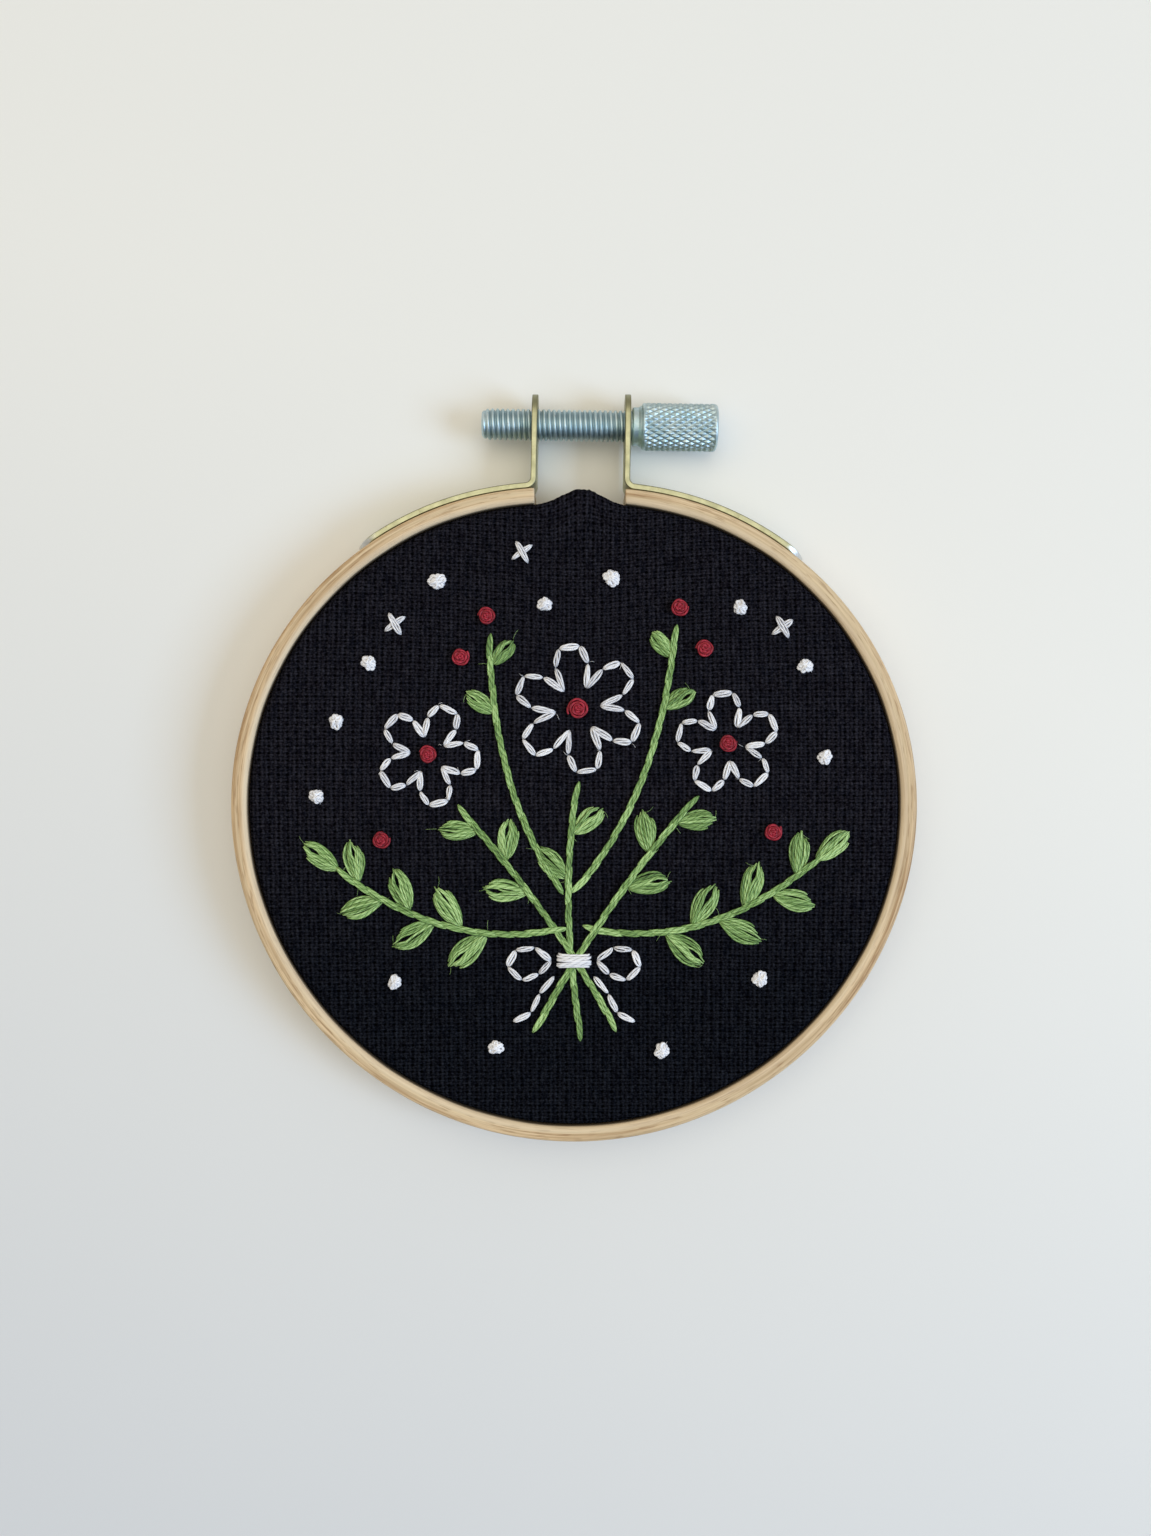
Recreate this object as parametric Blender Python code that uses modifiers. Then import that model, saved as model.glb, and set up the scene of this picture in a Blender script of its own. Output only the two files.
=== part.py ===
"""Embroidered hoop picture.

A small split wooden hoop with a brass-coloured strap on each side of its opening and
a thumb screw between the straps. Black even-weave cloth is stretched over a plain
inner ring, and a posy of wild flowers is stitched on it.

It lies on its back: z = 0 is the surface, the picture faces +Z and the screw is
towards +Y. The origin is under the middle of the whole object. The pieces are laid
out from the hoop's centre, which is where the empty named hoop_centre stands.
"""

import math

import bmesh
import bpy
from mathutils import Matrix, Vector

MM = 0.001
GAP = 0.3 * MM                       # play left between pieces that touch
MERGE = 0.00001                      # distance at which doubled points are welded

# Hoop outline: a circle that is a little wide, and flattened at the opening
RING_RADIUS = 51.76 * MM
RING_OVAL = 0.95 * MM
RING_SPRING = 0.27 * MM
RING_END_DROP = 0.90 * MM
RING_END_SPREAD = math.radians(18)

# Outer ring
RING_WIDTH = 2.45 * MM
RING_DEPTH = 9.0 * MM
RING_OUTER_ROUND = 0.6 * MM
RING_INNER_ROUND = 0.9 * MM
OPENING_LEFT = -6.1 * MM
OPENING_RIGHT = 7.9 * MM
RING_STEPS = 72

# Cloth and the plain ring under it
CLOTH_THICK = 1.0 * MM
CLOTH_FRONT = 8.7 * MM
CLOTH_ROLL = 1.1 * MM                # radius where the face turns down between the rings
CLOTH_TRIM = 1.0 * MM                # height above the surface at which it is cut off
PUCKER_RISE = 2.3 * MM               # fold that swells out through the opening
PUCKER_AT = 1.4 * MM
PUCKER_REACH = 3.3 * MM
CLOTH_CROWDING = 0.3
INNER_WIDTH = 2.4 * MM
INNER_ROUND = 0.5 * MM

# Straps and tabs
STRAP_THICK = 0.9 * MM
STRAP_WIDTH = 7.6 * MM
STRAP_LEVEL = 4.5 * MM
BEND_RADIUS = 1.3 * MM
TAB_TOP = 64.8 * MM
HARDWARE_LEAN = math.radians(1.0)    # the straps and the screw all lean this much clockwise
STRAPS = (
    # name, side, tab's x at its foot, angle of the far tip
    ("left", -1, -6.25 * MM, math.radians(129.7)),
    ("right", 1, 8.2 * MM, math.radians(47.4)),
)

# Thumb screw: 0.8 mm a turn, turned ridges stand for the thread
SCREW_Y = 60.05 * MM
SCREW_TIP = -14.4 * MM
SCREW_SHAFT = 23.5 * MM
SCREW_COLLAR = 1.4 * MM
SCREW_HEAD = 11.9 * MM
THREAD_RADIUS = 2.4 * MM
THREAD_ROOT = 1.97 * MM
THREAD_PITCH = 0.8 * MM
COLLAR_RADIUS = 2.92 * MM
HEAD_RADIUS = 3.65 * MM
HEAD_CHAMFER = 0.6 * MM
SCREW_STEPS = 18
HOLE_STEPS = 24

# Flush pins that hold the straps
PIN_HEAD = 1.5 * MM
PIN_SHANK = 0.7 * MM
PIN_RIM = 0.1 * MM
PIN_CONE = 0.8 * MM
PIN_LENGTH = 2.5 * MM
PIN_STEPS = 16

# Stitching, which lies on the cloth
STITCH_LEVEL = CLOTH_FRONT + GAP + 0.45 * MM
STITCH_RADIUS = 0.5 * MM
STITCH_NIP = 0.3 * MM                # radius where two stitches share a hole
STITCH_FLATNESS = 0.8
STEM_RADIUS = 0.52 * MM
LEAF_HEIGHT = 0.9 * MM
LEAF_ANGLE = math.radians(46)
STEM_LIFT = 0.023 * MM
LEAF_LIFT = 0.037 * MM
KNOT_RADIUS = 1.15 * MM
BERRY_RADIUS = 1.5 * MM
CROSS_STITCH = 4.0 * MM

# Each stem is one bend between two points, in millimetres from the hoop's centre
STEMS = {
    # name: foot, bend, head
    "centre": ((1.2, -35.5), (-2.6, -14.0), (0.6, 4.4)),
    "left": ((6.6, -34.0), (-3.0, -16.0), (-18.0, 0.6)),
    "right": ((-6.2, -34.4), (4.0, -15.0), (19.0, 2.2)),
    "twig_left": ((-1.4, -13.0), (-12.6, 2.0), (-13.0, 27.0)),
    "twig_right": ((-0.4, -13.0), (13.4, 2.0), (15.6, 28.4)),
    "sprig_left": ((-1.0, -18.0), (-19.0, -22.5), (-36.6, -9.0)),
    "sprig_right": ((1.2, -18.0), (20.0, -22.5), (37.6, -7.4)),
}
LEAVES = (
    # stem, first and last place along it, count, first side, length, width
    ("centre", 0.60, 0.78, 2, 1, 7.4, 3.5),
    ("left", 0.60, 0.88, 3, 1, 7.6, 3.6),
    ("right", 0.60, 0.88, 3, -1, 7.6, 3.6),
    ("twig_left", 0.74, 0.90, 2, 1, 6.0, 2.9),
    ("twig_right", 0.74, 0.90, 2, -1, 6.0, 2.9),
    ("sprig_left", 0.34, 0.90, 6, 1, 8.4, 3.8),
    ("sprig_right", 0.34, 0.90, 6, -1, 8.4, 3.8),
)
TIP_LEAVES = (("sprig_left", 7.6, 3.4), ("sprig_right", 7.6, 3.4))

# Flowers are outlines of straight stitches; one petal's corners are given as shares
PETAL = ((0.0, 0.34), (0.16, 0.72), (0.34, 0.97), (0.66, 0.97), (0.84, 0.72))
BLOOMS = (
    # name, centre in mm, reach in mm, petals, turn in degrees, radius of the red eye in mm
    ("centre", (0.6, 15.4), 10.0, 6, 8.0, 1.8),
    ("left", (-22.4, 8.4), 8.0, 5, 30.0, 1.5),
    ("right", (23.6, 10.2), 8.0, 5, -12.0, 1.5),
)

# Bow at the waist of the posy: the right half, in millimetres
BOW_LOOP = ((3.5, -23.2), (6.0, -21.2), (9.0, -21.6), (10.2, -24.2), (8.0, -26.2), (5.4, -25.3))
BOW_TAIL = ((3.0, -25.6), (5.3, -28.3), (6.6, -31.2), (9.4, -32.6))
BOW_KNOT = (0.0, -23.2)
BOW_KNOT_WIDE = 5.8 * MM
BOW_KNOT_LONG = 2.6 * MM
BOW_KNOT_THICK = 0.5 * MM

KNOTS = (
    (-36.5, 13.5), (-31.5, 22.5), (-21.0, 35.0), (-4.5, 31.5), (5.8, 35.5), (25.5, 31.0),
    (35.5, 22.0), (38.5, 8.0), (-39.5, 2.0), (-27.5, -26.5), (28.5, -26.0), (-12.0, -36.5),
    (13.5, -37.0),
)
CROSSES = ((-27.5, 28.5), (32.0, 28.0), (-8.0, 39.5))
BERRIES = (
    (-13.4, 29.6), (-17.4, 23.4), (16.2, 31.0), (20.0, 24.6), (-29.5, -4.6), (30.5, -3.4),
)

# The origin is under the middle of the box that the whole object fills
HOOP_LOW = RING_RADIUS - RING_OVAL + RING_SPRING
HOOP_CENTRE_Y = (HOOP_LOW - TAB_TOP) / 2

COLOURS = {
    # name: colour, roughness, metallic
    "beech": ((0.56, 0.43, 0.28, 1.0), 0.55, 0.0),
    "black_cloth": ((0.008, 0.008, 0.010, 1.0), 0.9, 0.0),
    "yellow_zinc": ((0.60, 0.56, 0.36, 1.0), 0.35, 1.0),
    "blue_zinc": ((0.48, 0.57, 0.60, 1.0), 0.3, 1.0),
    "white_thread": ((0.78, 0.78, 0.80, 1.0), 0.7, 0.0),
    "green_thread": ((0.14, 0.24, 0.075, 1.0), 0.7, 0.0),
    "red_thread": ((0.22, 0.012, 0.026, 1.0), 0.7, 0.0),
}


def clear_scene():
    for old in list(bpy.data.objects):
        bpy.data.objects.remove(old, do_unlink=True)


def new_collection(name):
    collection = bpy.data.collections.new(name)
    bpy.context.scene.collection.children.link(collection)
    return collection


def new_material(name):
    colour, roughness, metallic = COLOURS[name]
    material = bpy.data.materials.new(name)
    material.use_nodes = True
    shader = material.node_tree.nodes["Principled BSDF"]
    shader.inputs["Base Color"].default_value = colour
    shader.inputs["Roughness"].default_value = roughness
    shader.inputs["Metallic"].default_value = metallic
    material.diffuse_color = colour
    return material


clear_scene()
PIECES = new_collection("embroidered_hoop")
CUTTERS = new_collection("cutters")
MATERIALS = {name: new_material(name) for name in COLOURS}
CENTRE = bpy.data.objects.new("hoop_centre", None)
CENTRE.location = (0.0, HOOP_CENTRE_Y, 0.0)
PIECES.objects.link(CENTRE)


def place(name, data, material=None, location=(0.0, 0.0, 0.0)):
    """Adds an object under the hoop's centre; one with no material is a cutter."""
    piece = bpy.data.objects.new(name, data)
    piece.parent = CENTRE
    piece.location = location
    if material is None:
        CUTTERS.objects.link(piece)
        piece.hide_render = True
        piece.display_type = "WIRE"
    else:
        PIECES.objects.link(piece)
        data.materials.append(MATERIALS[material])
    return piece


def shaped_mesh(piece, smooth_angle=math.radians(40)):
    """Takes the piece's finished shape as a plain welded mesh and removes the piece."""
    bpy.context.view_layer.update()
    depsgraph = bpy.context.evaluated_depsgraph_get()
    mesh = bpy.data.meshes.new_from_object(piece.evaluated_get(depsgraph), depsgraph=depsgraph)
    bpy.data.objects.remove(piece, do_unlink=True)
    welded = bmesh.new()
    welded.from_mesh(mesh)
    bmesh.ops.remove_doubles(welded, verts=welded.verts, dist=MERGE)
    welded.to_mesh(mesh)
    welded.free()
    mesh.materials.clear()
    mesh.shade_smooth()
    mesh.set_sharp_from_angle(angle=smooth_angle)
    return mesh


def joined(target, other, operation):
    """Cuts or joins another object into the target with an exact Boolean."""
    boolean = target.modifiers.new(operation.lower() + "_" + other.name, "BOOLEAN")
    boolean.operation = operation
    boolean.object = other
    boolean.solver = "EXACT"


def turned_mesh(profile, steps):
    """Turns (radius, height) points about Z; an outer side runs from top to bottom."""
    points = [(radius, 0.0, height) for radius, height in profile]
    edges = [(index, index + 1) for index in range(len(points) - 1)]
    outline = bpy.data.meshes.new("profile")
    outline.from_pydata(points, edges, [])
    piece = place("turned", outline)
    screw = piece.modifiers.new("turn", "SCREW")
    screw.steps = steps
    screw.render_steps = steps
    screw.use_merge_vertices = True
    screw.merge_threshold = MERGE
    return shaped_mesh(piece)


def flat_mesh(outline, thickness):
    """Fills a closed outline in the XY plane and thickens it evenly about that plane."""
    curve = bpy.data.curves.new("outline", "CURVE")
    curve.dimensions = "2D"
    curve.fill_mode = "BOTH"
    curve.extrude = thickness / 2
    spline = curve.splines.new("POLY")
    spline.points.add(len(outline) - 1)
    for point, (x, y) in zip(spline.points, outline):
        point.co = (x, y, 0.0, 1.0)
    spline.use_cyclic_u = True
    return shaped_mesh(place("flat", curve))


def thread_mesh(points, radii, closed):
    """Runs a flattened round thread, in the XY plane, along points of given radius."""
    curve = bpy.data.curves.new("thread", "CURVE")
    curve.dimensions = "3D"
    curve.bevel_depth = 1.0
    curve.bevel_resolution = 1
    curve.use_fill_caps = True
    spline = curve.splines.new("POLY")
    spline.points.add(len(points) - 1)
    for point, (x, y), radius in zip(spline.points, points, radii):
        point.co = (x, y, 0.0, 1.0)
        point.radius = radius
    spline.use_cyclic_u = closed
    mesh = shaped_mesh(place("thread", curve))
    mesh.transform(Matrix.Diagonal((1.0, 1.0, STITCH_FLATNESS, 1.0)))
    return mesh


def swell(angle):
    """Radial distance by which the hoop's outline leaves a true circle at an angle."""
    from_opening = (angle - math.pi / 2) / RING_END_SPREAD
    drop = RING_END_DROP * math.exp(-from_opening ** 2)
    return RING_OVAL * math.cos(2 * angle) + RING_SPRING * math.sin(3 * angle) - drop


def rim_point(angle, offset):
    """Point at an angle round the hoop's centre, at an offset outside its outer face."""
    radius = RING_RADIUS + swell(angle) + offset
    return Vector((radius * math.cos(angle), radius * math.sin(angle)))


def pucker(x, radius):
    """Outward swell of the cloth's rim where the opening leaves it free."""
    near_rim = min(max((radius - 0.80 * RING_RADIUS) / (0.14 * RING_RADIUS), 0.0), 1.0)
    return PUCKER_RISE * near_rim * math.exp(-((x - PUCKER_AT) / PUCKER_REACH) ** 2)


def bend_to_hoop(mesh, with_pucker=False):
    """Moves each point of a round mesh outwards or inwards to the hoop's real outline."""
    for vertex in mesh.vertices:
        x, y, z = vertex.co
        angle, radius = math.atan2(y, x), math.hypot(x, y)
        if radius < MERGE:
            continue
        bent = radius + swell(angle % math.tau) * radius / RING_RADIUS
        if with_pucker and y > 0:
            bent += pucker(bent * math.cos(angle), radius)
        vertex.co = (bent * math.cos(angle), bent * math.sin(angle), z)
    mesh.update()


def crowd_towards_opening(mesh):
    """Draws the cloth's even steps together near the opening, where it puckers."""
    for vertex in mesh.vertices:
        x, y, z = vertex.co
        angle, radius = math.atan2(y, x), math.hypot(x, y)
        angle -= CLOTH_CROWDING * math.sin(2 * (angle - math.pi / 2))
        vertex.co = (radius * math.cos(angle), radius * math.sin(angle), z)


def round_corner(centre_r, centre_z, radius, first, last, count):
    """Points of an arc in a profile, with its angles in degrees from straight out."""
    corner = []
    for step in range(count + 1):
        angle = math.radians(first + (last - first) * step / count)
        corner.append((centre_r + radius * math.cos(angle), centre_z + radius * math.sin(angle)))
    return corner


def ring_mesh(outer, width, depth, outer_round, inner_round):
    """Turns a ring of rounded section whose back lies at z = 0."""
    inner = outer - width
    section = [(outer, outer_round / 2), (outer - outer_round / 2, 0.0)]
    section += [(inner + inner_round / 2, 0.0), (inner, inner_round / 2)]
    section += round_corner(inner + inner_round, depth - inner_round, inner_round, 180, 90, 2)
    section += round_corner(outer - outer_round, depth - outer_round, outer_round, 90, 0, 2)
    section.append(section[0])
    mesh = turned_mesh(section, RING_STEPS)
    bend_to_hoop(mesh)
    return mesh


def build_outer_ring():
    mesh = ring_mesh(RING_RADIUS, RING_WIDTH, RING_DEPTH, RING_OUTER_ROUND, RING_INNER_ROUND)
    ring = place("outer_ring", mesh, "beech")
    reach = 4 * RING_WIDTH
    middle = (OPENING_LEFT + OPENING_RIGHT) / 2
    half = (OPENING_RIGHT - OPENING_LEFT) / 2
    outline = [(-half, -reach), (half, -reach), (half, reach), (-half, reach)]
    opening = place("ring_opening", flat_mesh(outline, 3 * RING_DEPTH),
                    location=(middle, RING_RADIUS, 0.0))
    joined(ring, opening, "DIFFERENCE")
    return ring


def build_inner_ring():
    outer = RING_RADIUS - RING_WIDTH - CLOTH_THICK - 2 * GAP
    depth = CLOTH_FRONT - CLOTH_THICK - GAP
    place("inner_ring", ring_mesh(outer, INNER_WIDTH, depth, INNER_ROUND, INNER_ROUND), "beech")


def build_cloth():
    """A drum skin: flat face, rolled edge, and a skirt held between the rings."""
    outer = RING_RADIUS - RING_WIDTH - GAP
    profile = [(0.0, CLOTH_FRONT), (0.86 * outer, CLOTH_FRONT)]
    profile += round_corner(outer - CLOTH_ROLL, CLOTH_FRONT - CLOTH_ROLL, CLOTH_ROLL, 90, 0, 3)
    profile.append((outer, CLOTH_TRIM))
    mesh = turned_mesh(profile, RING_STEPS)
    crowd_towards_opening(mesh)
    bend_to_hoop(mesh, with_pucker=True)
    cloth = place("cloth", mesh, "black_cloth")
    thicken = cloth.modifiers.new("thickness", "SOLIDIFY")
    thicken.thickness = CLOTH_THICK
    thicken.offset = -1.0
    thicken.use_even_offset = True


def tab_x(foot_x, y):
    """The tab's middle line at a height above its foot."""
    return foot_x + (y - RING_RADIUS) * math.tan(HARDWARE_LEAN)


def strap_line(side, foot_x, tip_angle):
    """Middle line of a strap seen from above: down the tab, round the bend, along the rim."""
    offset = GAP + STRAP_THICK / 2
    turn = math.pi / 2 - side * math.radians(8)
    for _ in range(12):
        short = rim_point(turn, offset).x + BEND_RADIUS * (math.cos(turn) - side) - foot_x
        turn += short / RING_RADIUS
    start = rim_point(turn, offset)
    outward = Vector((math.cos(turn), math.sin(turn)))
    centre = start + outward * BEND_RADIUS
    line = [Vector((tab_x(foot_x, TAB_TOP), TAB_TOP)), Vector((foot_x, centre.y))]
    first = math.pi if side > 0 else 0.0
    last = turn + math.pi if side > 0 else turn - math.pi
    for step in range(1, 4):
        angle = first + (last - first) * step / 4
        line.append(centre + BEND_RADIUS * Vector((math.cos(angle), math.sin(angle))))
    for step in range(9):
        line.append(rim_point(turn + (tip_angle - turn) * step / 8, offset))
    return line


def offset_line(line, distance):
    """The same line moved sideways, to the left of its own direction."""
    moved = []
    for index, point in enumerate(line):
        before = line[max(index - 1, 0)]
        after = line[min(index + 1, len(line) - 1)]
        along = (after - before).normalized()
        moved.append(point + distance * Vector((-along.y, along.x)))
    return moved


def end_cutter(name, tip, along):
    """What a strap's round end leaves of a block set over its square end."""
    half = STRAP_WIDTH / 2
    spare = 1.0 * MM
    outline = [(-half, half + spare), (-half, half)]
    for step in range(1, 10):
        angle = math.pi / 2 - math.pi * step / 10
        outline.append((half * (math.cos(angle) - 1), half * math.sin(angle)))
    outline += [(-half, -half), (-half, -half - spare), (spare, -half - spare), (spare, half + spare)]
    cutter = place(name, flat_mesh(outline, 5 * STRAP_THICK))
    across = Vector((along.y, -along.x, 0.0))
    frame = Matrix((along.to_3d(), Vector((0.0, 0.0, 1.0)), across)).transposed().to_4x4()
    cutter.matrix_local = Matrix.Translation((tip.x, tip.y, STRAP_LEVEL)) @ frame
    return cutter


def pin_profile(grow, above):
    """Flat countersunk head over a plain shank, grown by the play round it."""
    head, shank = PIN_HEAD + grow, PIN_SHANK + grow
    low = -PIN_LENGTH - grow
    return [(0.0, above), (head, above), (head, -PIN_RIM), (shank, -PIN_CONE), (shank, low), (0.0, low)]


def build_pin(side_name, angle, strap, ring):
    """A flush pin through the strap into the ring, with its hole in both."""
    foot = rim_point(angle, GAP + STRAP_THICK)
    turn = Matrix.Rotation(angle, 4, "Z") @ Matrix.Rotation(math.pi / 2, 4, "Y")
    spot = Matrix.Translation((foot.x, foot.y, STRAP_LEVEL)) @ turn
    pin = place("pin_" + side_name, turned_mesh(pin_profile(0.0, 0.0), PIN_STEPS), "blue_zinc")
    pin.matrix_local = spot
    hole = place("pin_hole_" + side_name, turned_mesh(pin_profile(GAP, PIN_HEAD), PIN_STEPS))
    hole.matrix_local = spot
    joined(strap, hole, "DIFFERENCE")
    joined(ring, hole, "DIFFERENCE")


def screw_frame():
    """Place of the screw: its own Z runs along the axis, from the tip to the head."""
    lean = Matrix.Rotation(-HARDWARE_LEAN, 4, "Z")
    return Matrix.Translation((0.0, SCREW_Y, STRAP_LEVEL)) @ lean @ Matrix.Rotation(math.pi / 2, 4, "Y")


def build_straps(ring):
    """Bent strips: a tab with a hole for the screw, a bend, and a leg along the ring."""
    bore = (THREAD_RADIUS + GAP) / math.cos(math.pi / HOLE_STEPS)
    far = SCREW_SHAFT
    drill = [(0.0, far), (bore, far), (bore, -far), (0.0, -far)]
    hole = place("screw_hole", turned_mesh(drill, HOLE_STEPS))
    hole.matrix_local = screw_frame()
    half = STRAP_THICK / 2
    for side_name, side, foot_x, tip_angle in STRAPS:
        line = strap_line(side, foot_x, tip_angle)
        outline = offset_line(line, half) + offset_line(line, -half)[::-1]
        strap = place("strap_" + side_name, flat_mesh(outline, STRAP_WIDTH), "yellow_zinc",
                      (0.0, 0.0, STRAP_LEVEL))
        top = end_cutter("tab_end_" + side_name, line[0], (line[0] - line[1]).normalized())
        tip = end_cutter("strap_end_" + side_name, line[-1], (line[-1] - line[-2]).normalized())
        for cutter in (top, tip, hole):
            joined(strap, cutter, "DIFFERENCE")
        build_pin(side_name, tip_angle + side * STRAP_WIDTH / 2 / RING_RADIUS, strap, ring)


def build_thumb_screw():
    """Threaded shaft, plain collar and round head, turned as one piece."""
    low = SCREW_TIP
    collar_low = low + SCREW_SHAFT
    head_low = collar_low + SCREW_COLLAR
    top = head_low + SCREW_HEAD
    profile = [(0.0, top), (HEAD_RADIUS - HEAD_CHAMFER, top), (HEAD_RADIUS, top - HEAD_CHAMFER)]
    profile += [(HEAD_RADIUS, head_low + HEAD_CHAMFER), (HEAD_RADIUS - HEAD_CHAMFER, head_low)]
    profile += [(COLLAR_RADIUS - 0.3 * MM, head_low - 0.2 * MM), (COLLAR_RADIUS, head_low - 0.5 * MM)]
    profile += [(COLLAR_RADIUS, collar_low), (THREAD_ROOT, collar_low)]
    ridges = int(SCREW_SHAFT / THREAD_PITCH) - 1
    for ridge in range(ridges):
        crest = collar_low - (ridge + 0.75) * THREAD_PITCH
        profile += [(THREAD_RADIUS, crest), (THREAD_ROOT, crest - THREAD_PITCH / 2)]
    profile += [(THREAD_ROOT - 0.2 * MM, low), (0.0, low)]
    screw = place("thumb_screw", turned_mesh(profile, SCREW_STEPS), "blue_zinc")
    screw.matrix_local = screw_frame()


def along_stem(stem, share):
    """Point and heading at a share of the way along a stem's single bend."""
    foot, bend, head = (Vector(point) * MM for point in STEMS[stem])
    point = (1 - share) ** 2 * foot + 2 * share * (1 - share) * bend + share ** 2 * head
    heading = (1 - share) * (bend - foot) + share * (head - bend)
    return point, math.atan2(heading.y, heading.x)


def leaf_mesh(length, width):
    """A flat pointed leaf along +X: a turned spindle, pressed to the leaf's height."""
    spans = 6
    profile = [(width / 2 * math.sin(math.pi * step / spans) ** 0.8, length * (1 - step / spans))
               for step in range(spans + 1)]
    mesh = turned_mesh(profile, 6)
    mesh.transform(Matrix.Diagonal((LEAF_HEIGHT / width, 1.0, 1.0, 1.0)))
    mesh.transform(Matrix.Rotation(math.pi / 2, 4, "Y"))
    return mesh


def leaf_places():
    """Base, heading, length and width of every leaf, each stem's by turns left and right."""
    places = []
    for stem, first, last, count, side, length, width in LEAVES:
        for index in range(count):
            share = first + (last - first) * index / (count - 1)
            base, heading = along_stem(stem, share)
            turn = heading + side * (-1) ** index * LEAF_ANGLE
            smaller = 1 - 0.15 * index / count
            places.append((base, turn, length * MM * smaller, width * MM * smaller))
    for stem, length, width in TIP_LEAVES:
        base, heading = along_stem(stem, 0.98)
        places.append((base, heading, length * MM, width * MM))
    return places


def build_greenery():
    """All stems and satin leaves of the posy, grown together into one piece.

    Each lies a hair higher than the one before, so that no two surfaces coincide.
    """
    greenery = None
    for index, stem in enumerate(STEMS):
        count = 9
        points = [along_stem(stem, step / count)[0] for step in range(count + 1)]
        mesh = thread_mesh(points, [STEM_RADIUS] * (count + 1), False)
        spot = (0.0, 0.0, STITCH_LEVEL + index * STEM_LIFT)
        if greenery is None:
            greenery = place("greenery", mesh, "green_thread", spot)
        else:
            joined(greenery, place("stem_" + stem, mesh, location=spot), "UNION")
    for index, (base, turn, length, width) in enumerate(leaf_places()):
        leaf = place("leaf_" + str(index + 1), leaf_mesh(length, width))
        leaf.location = (base.x, base.y, STITCH_LEVEL + (1 + index % 3) * LEAF_LIFT)
        leaf.rotation_euler = (0.0, 0.0, turn)
        joined(greenery, leaf, "UNION")


def stitched_line(name, corners, closed):
    """A line of straight stitches, fat in the middle and nipped where they share a hole."""
    points, radii = [], []
    count = len(corners) if closed else len(corners) - 1
    for index in range(count):
        start, end = corners[index], corners[(index + 1) % len(corners)]
        points += [start, (start + end) / 2]
        radii += [STITCH_NIP, STITCH_RADIUS]
    if not closed:
        points.append(corners[-1])
        radii.append(STITCH_NIP)
    mesh = thread_mesh(points, radii, closed)
    place(name, mesh, "white_thread", (0.0, 0.0, STITCH_LEVEL))


def bloom_corners(centre, reach, petals, turn):
    """Holes of a flower's outline: the petal's shares of angle and reach, petal by petal."""
    corners = []
    for petal in range(petals):
        for share, out in PETAL:
            angle = math.radians(turn) + math.tau * (petal + share) / petals
            corners.append(Vector(centre) * MM + out * reach * MM * Vector((math.cos(angle), math.sin(angle))))
    return corners


def dome(name, spot, radius, material, points_round=8):
    """A knot or a woven berry: a low round cushion of thread."""
    height = LEAF_HEIGHT / 2
    profile = [(radius * math.sin(math.pi * step / 4), height * math.cos(math.pi * step / 4))
               for step in range(5)]
    location = (spot[0] * MM, spot[1] * MM, STITCH_LEVEL)
    place(name, turned_mesh(profile, points_round), material, location)


def build_blooms():
    for side, centre, reach, petals, turn, eye in BLOOMS:
        stitched_line("bloom_" + side, bloom_corners(centre, reach, petals, turn), True)
        dome("bloom_eye_" + side, centre, eye * MM, "red_thread", 10)


def build_bow():
    """Two loops, two tails and a band that arches over the crossed stems."""
    for side_name, side in (("left", -1), ("right", 1)):
        loop = [Vector((side * x, y)) * MM for x, y in BOW_LOOP]
        tail = [Vector((side * x, y)) * MM for x, y in BOW_TAIL]
        stitched_line("bow_loop_" + side_name, loop, True)
        stitched_line("bow_tail_" + side_name, tail, False)
    foot = CLOTH_FRONT + GAP
    inside = STITCH_LEVEL + STEM_RADIUS * STITCH_FLATNESS + GAP
    half = BOW_KNOT_WIDE / 2
    thick = BOW_KNOT_THICK
    arch = [(-half, foot), (-0.6 * half, inside + thick), (0.6 * half, inside + thick), (half, foot)]
    arch += [(half - 1.3 * thick, foot), (0.6 * half - 0.5 * thick, inside)]
    arch += [(0.5 * thick - 0.6 * half, inside), (1.3 * thick - half, foot)]
    band = place("bow_band", flat_mesh(arch, BOW_KNOT_LONG), "white_thread",
                 (BOW_KNOT[0] * MM, BOW_KNOT[1] * MM, 0.0))
    band.rotation_euler = (math.pi / 2, 0.0, 0.0)


def build_knots():
    for index, spot in enumerate(KNOTS):
        dome("knot_" + str(index + 1), spot, KNOT_RADIUS, "white_thread")
    for index, spot in enumerate(BERRIES):
        dome("berry_" + str(index + 1), spot, BERRY_RADIUS, "red_thread")


def build_crosses():
    """Small stars of two straight stitches, the second laid over the first."""
    half = CROSS_STITCH / 2
    over = 0.13 * MM
    for index, (x, y) in enumerate(CROSSES):
        arms = []
        for angle in (math.radians(35), math.radians(119)):
            reach = half * Vector((math.cos(angle), math.sin(angle)))
            arms.append(thread_mesh([-reach, Vector((0.0, 0.0)), reach],
                                    [STITCH_NIP, STITCH_RADIUS, STITCH_NIP], False))
        spot = Vector((x * MM, y * MM, STITCH_LEVEL))
        cross = place("cross_" + str(index + 1), arms[0], "white_thread", spot)
        arm = place("cross_arm_" + str(index + 1), arms[1], location=spot + Vector((0.0, 0.0, over)))
        joined(cross, arm, "UNION")


def build():
    ring = build_outer_ring()
    build_inner_ring()
    build_cloth()
    build_straps(ring)
    build_thumb_screw()
    build_greenery()
    build_blooms()
    build_bow()
    build_knots()
    build_crosses()


build()
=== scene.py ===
"""Looks of the embroidered hoop picture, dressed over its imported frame.

Lengths are millimetres from the hoop's centre, with +X right, +Y up the picture and +Z
out of it, until lay_mesh() puts them into the frame. The cloth, rings, straps, screw and
every strand of thread are surfaces worked out on grids with numpy.
"""
import math

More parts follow.
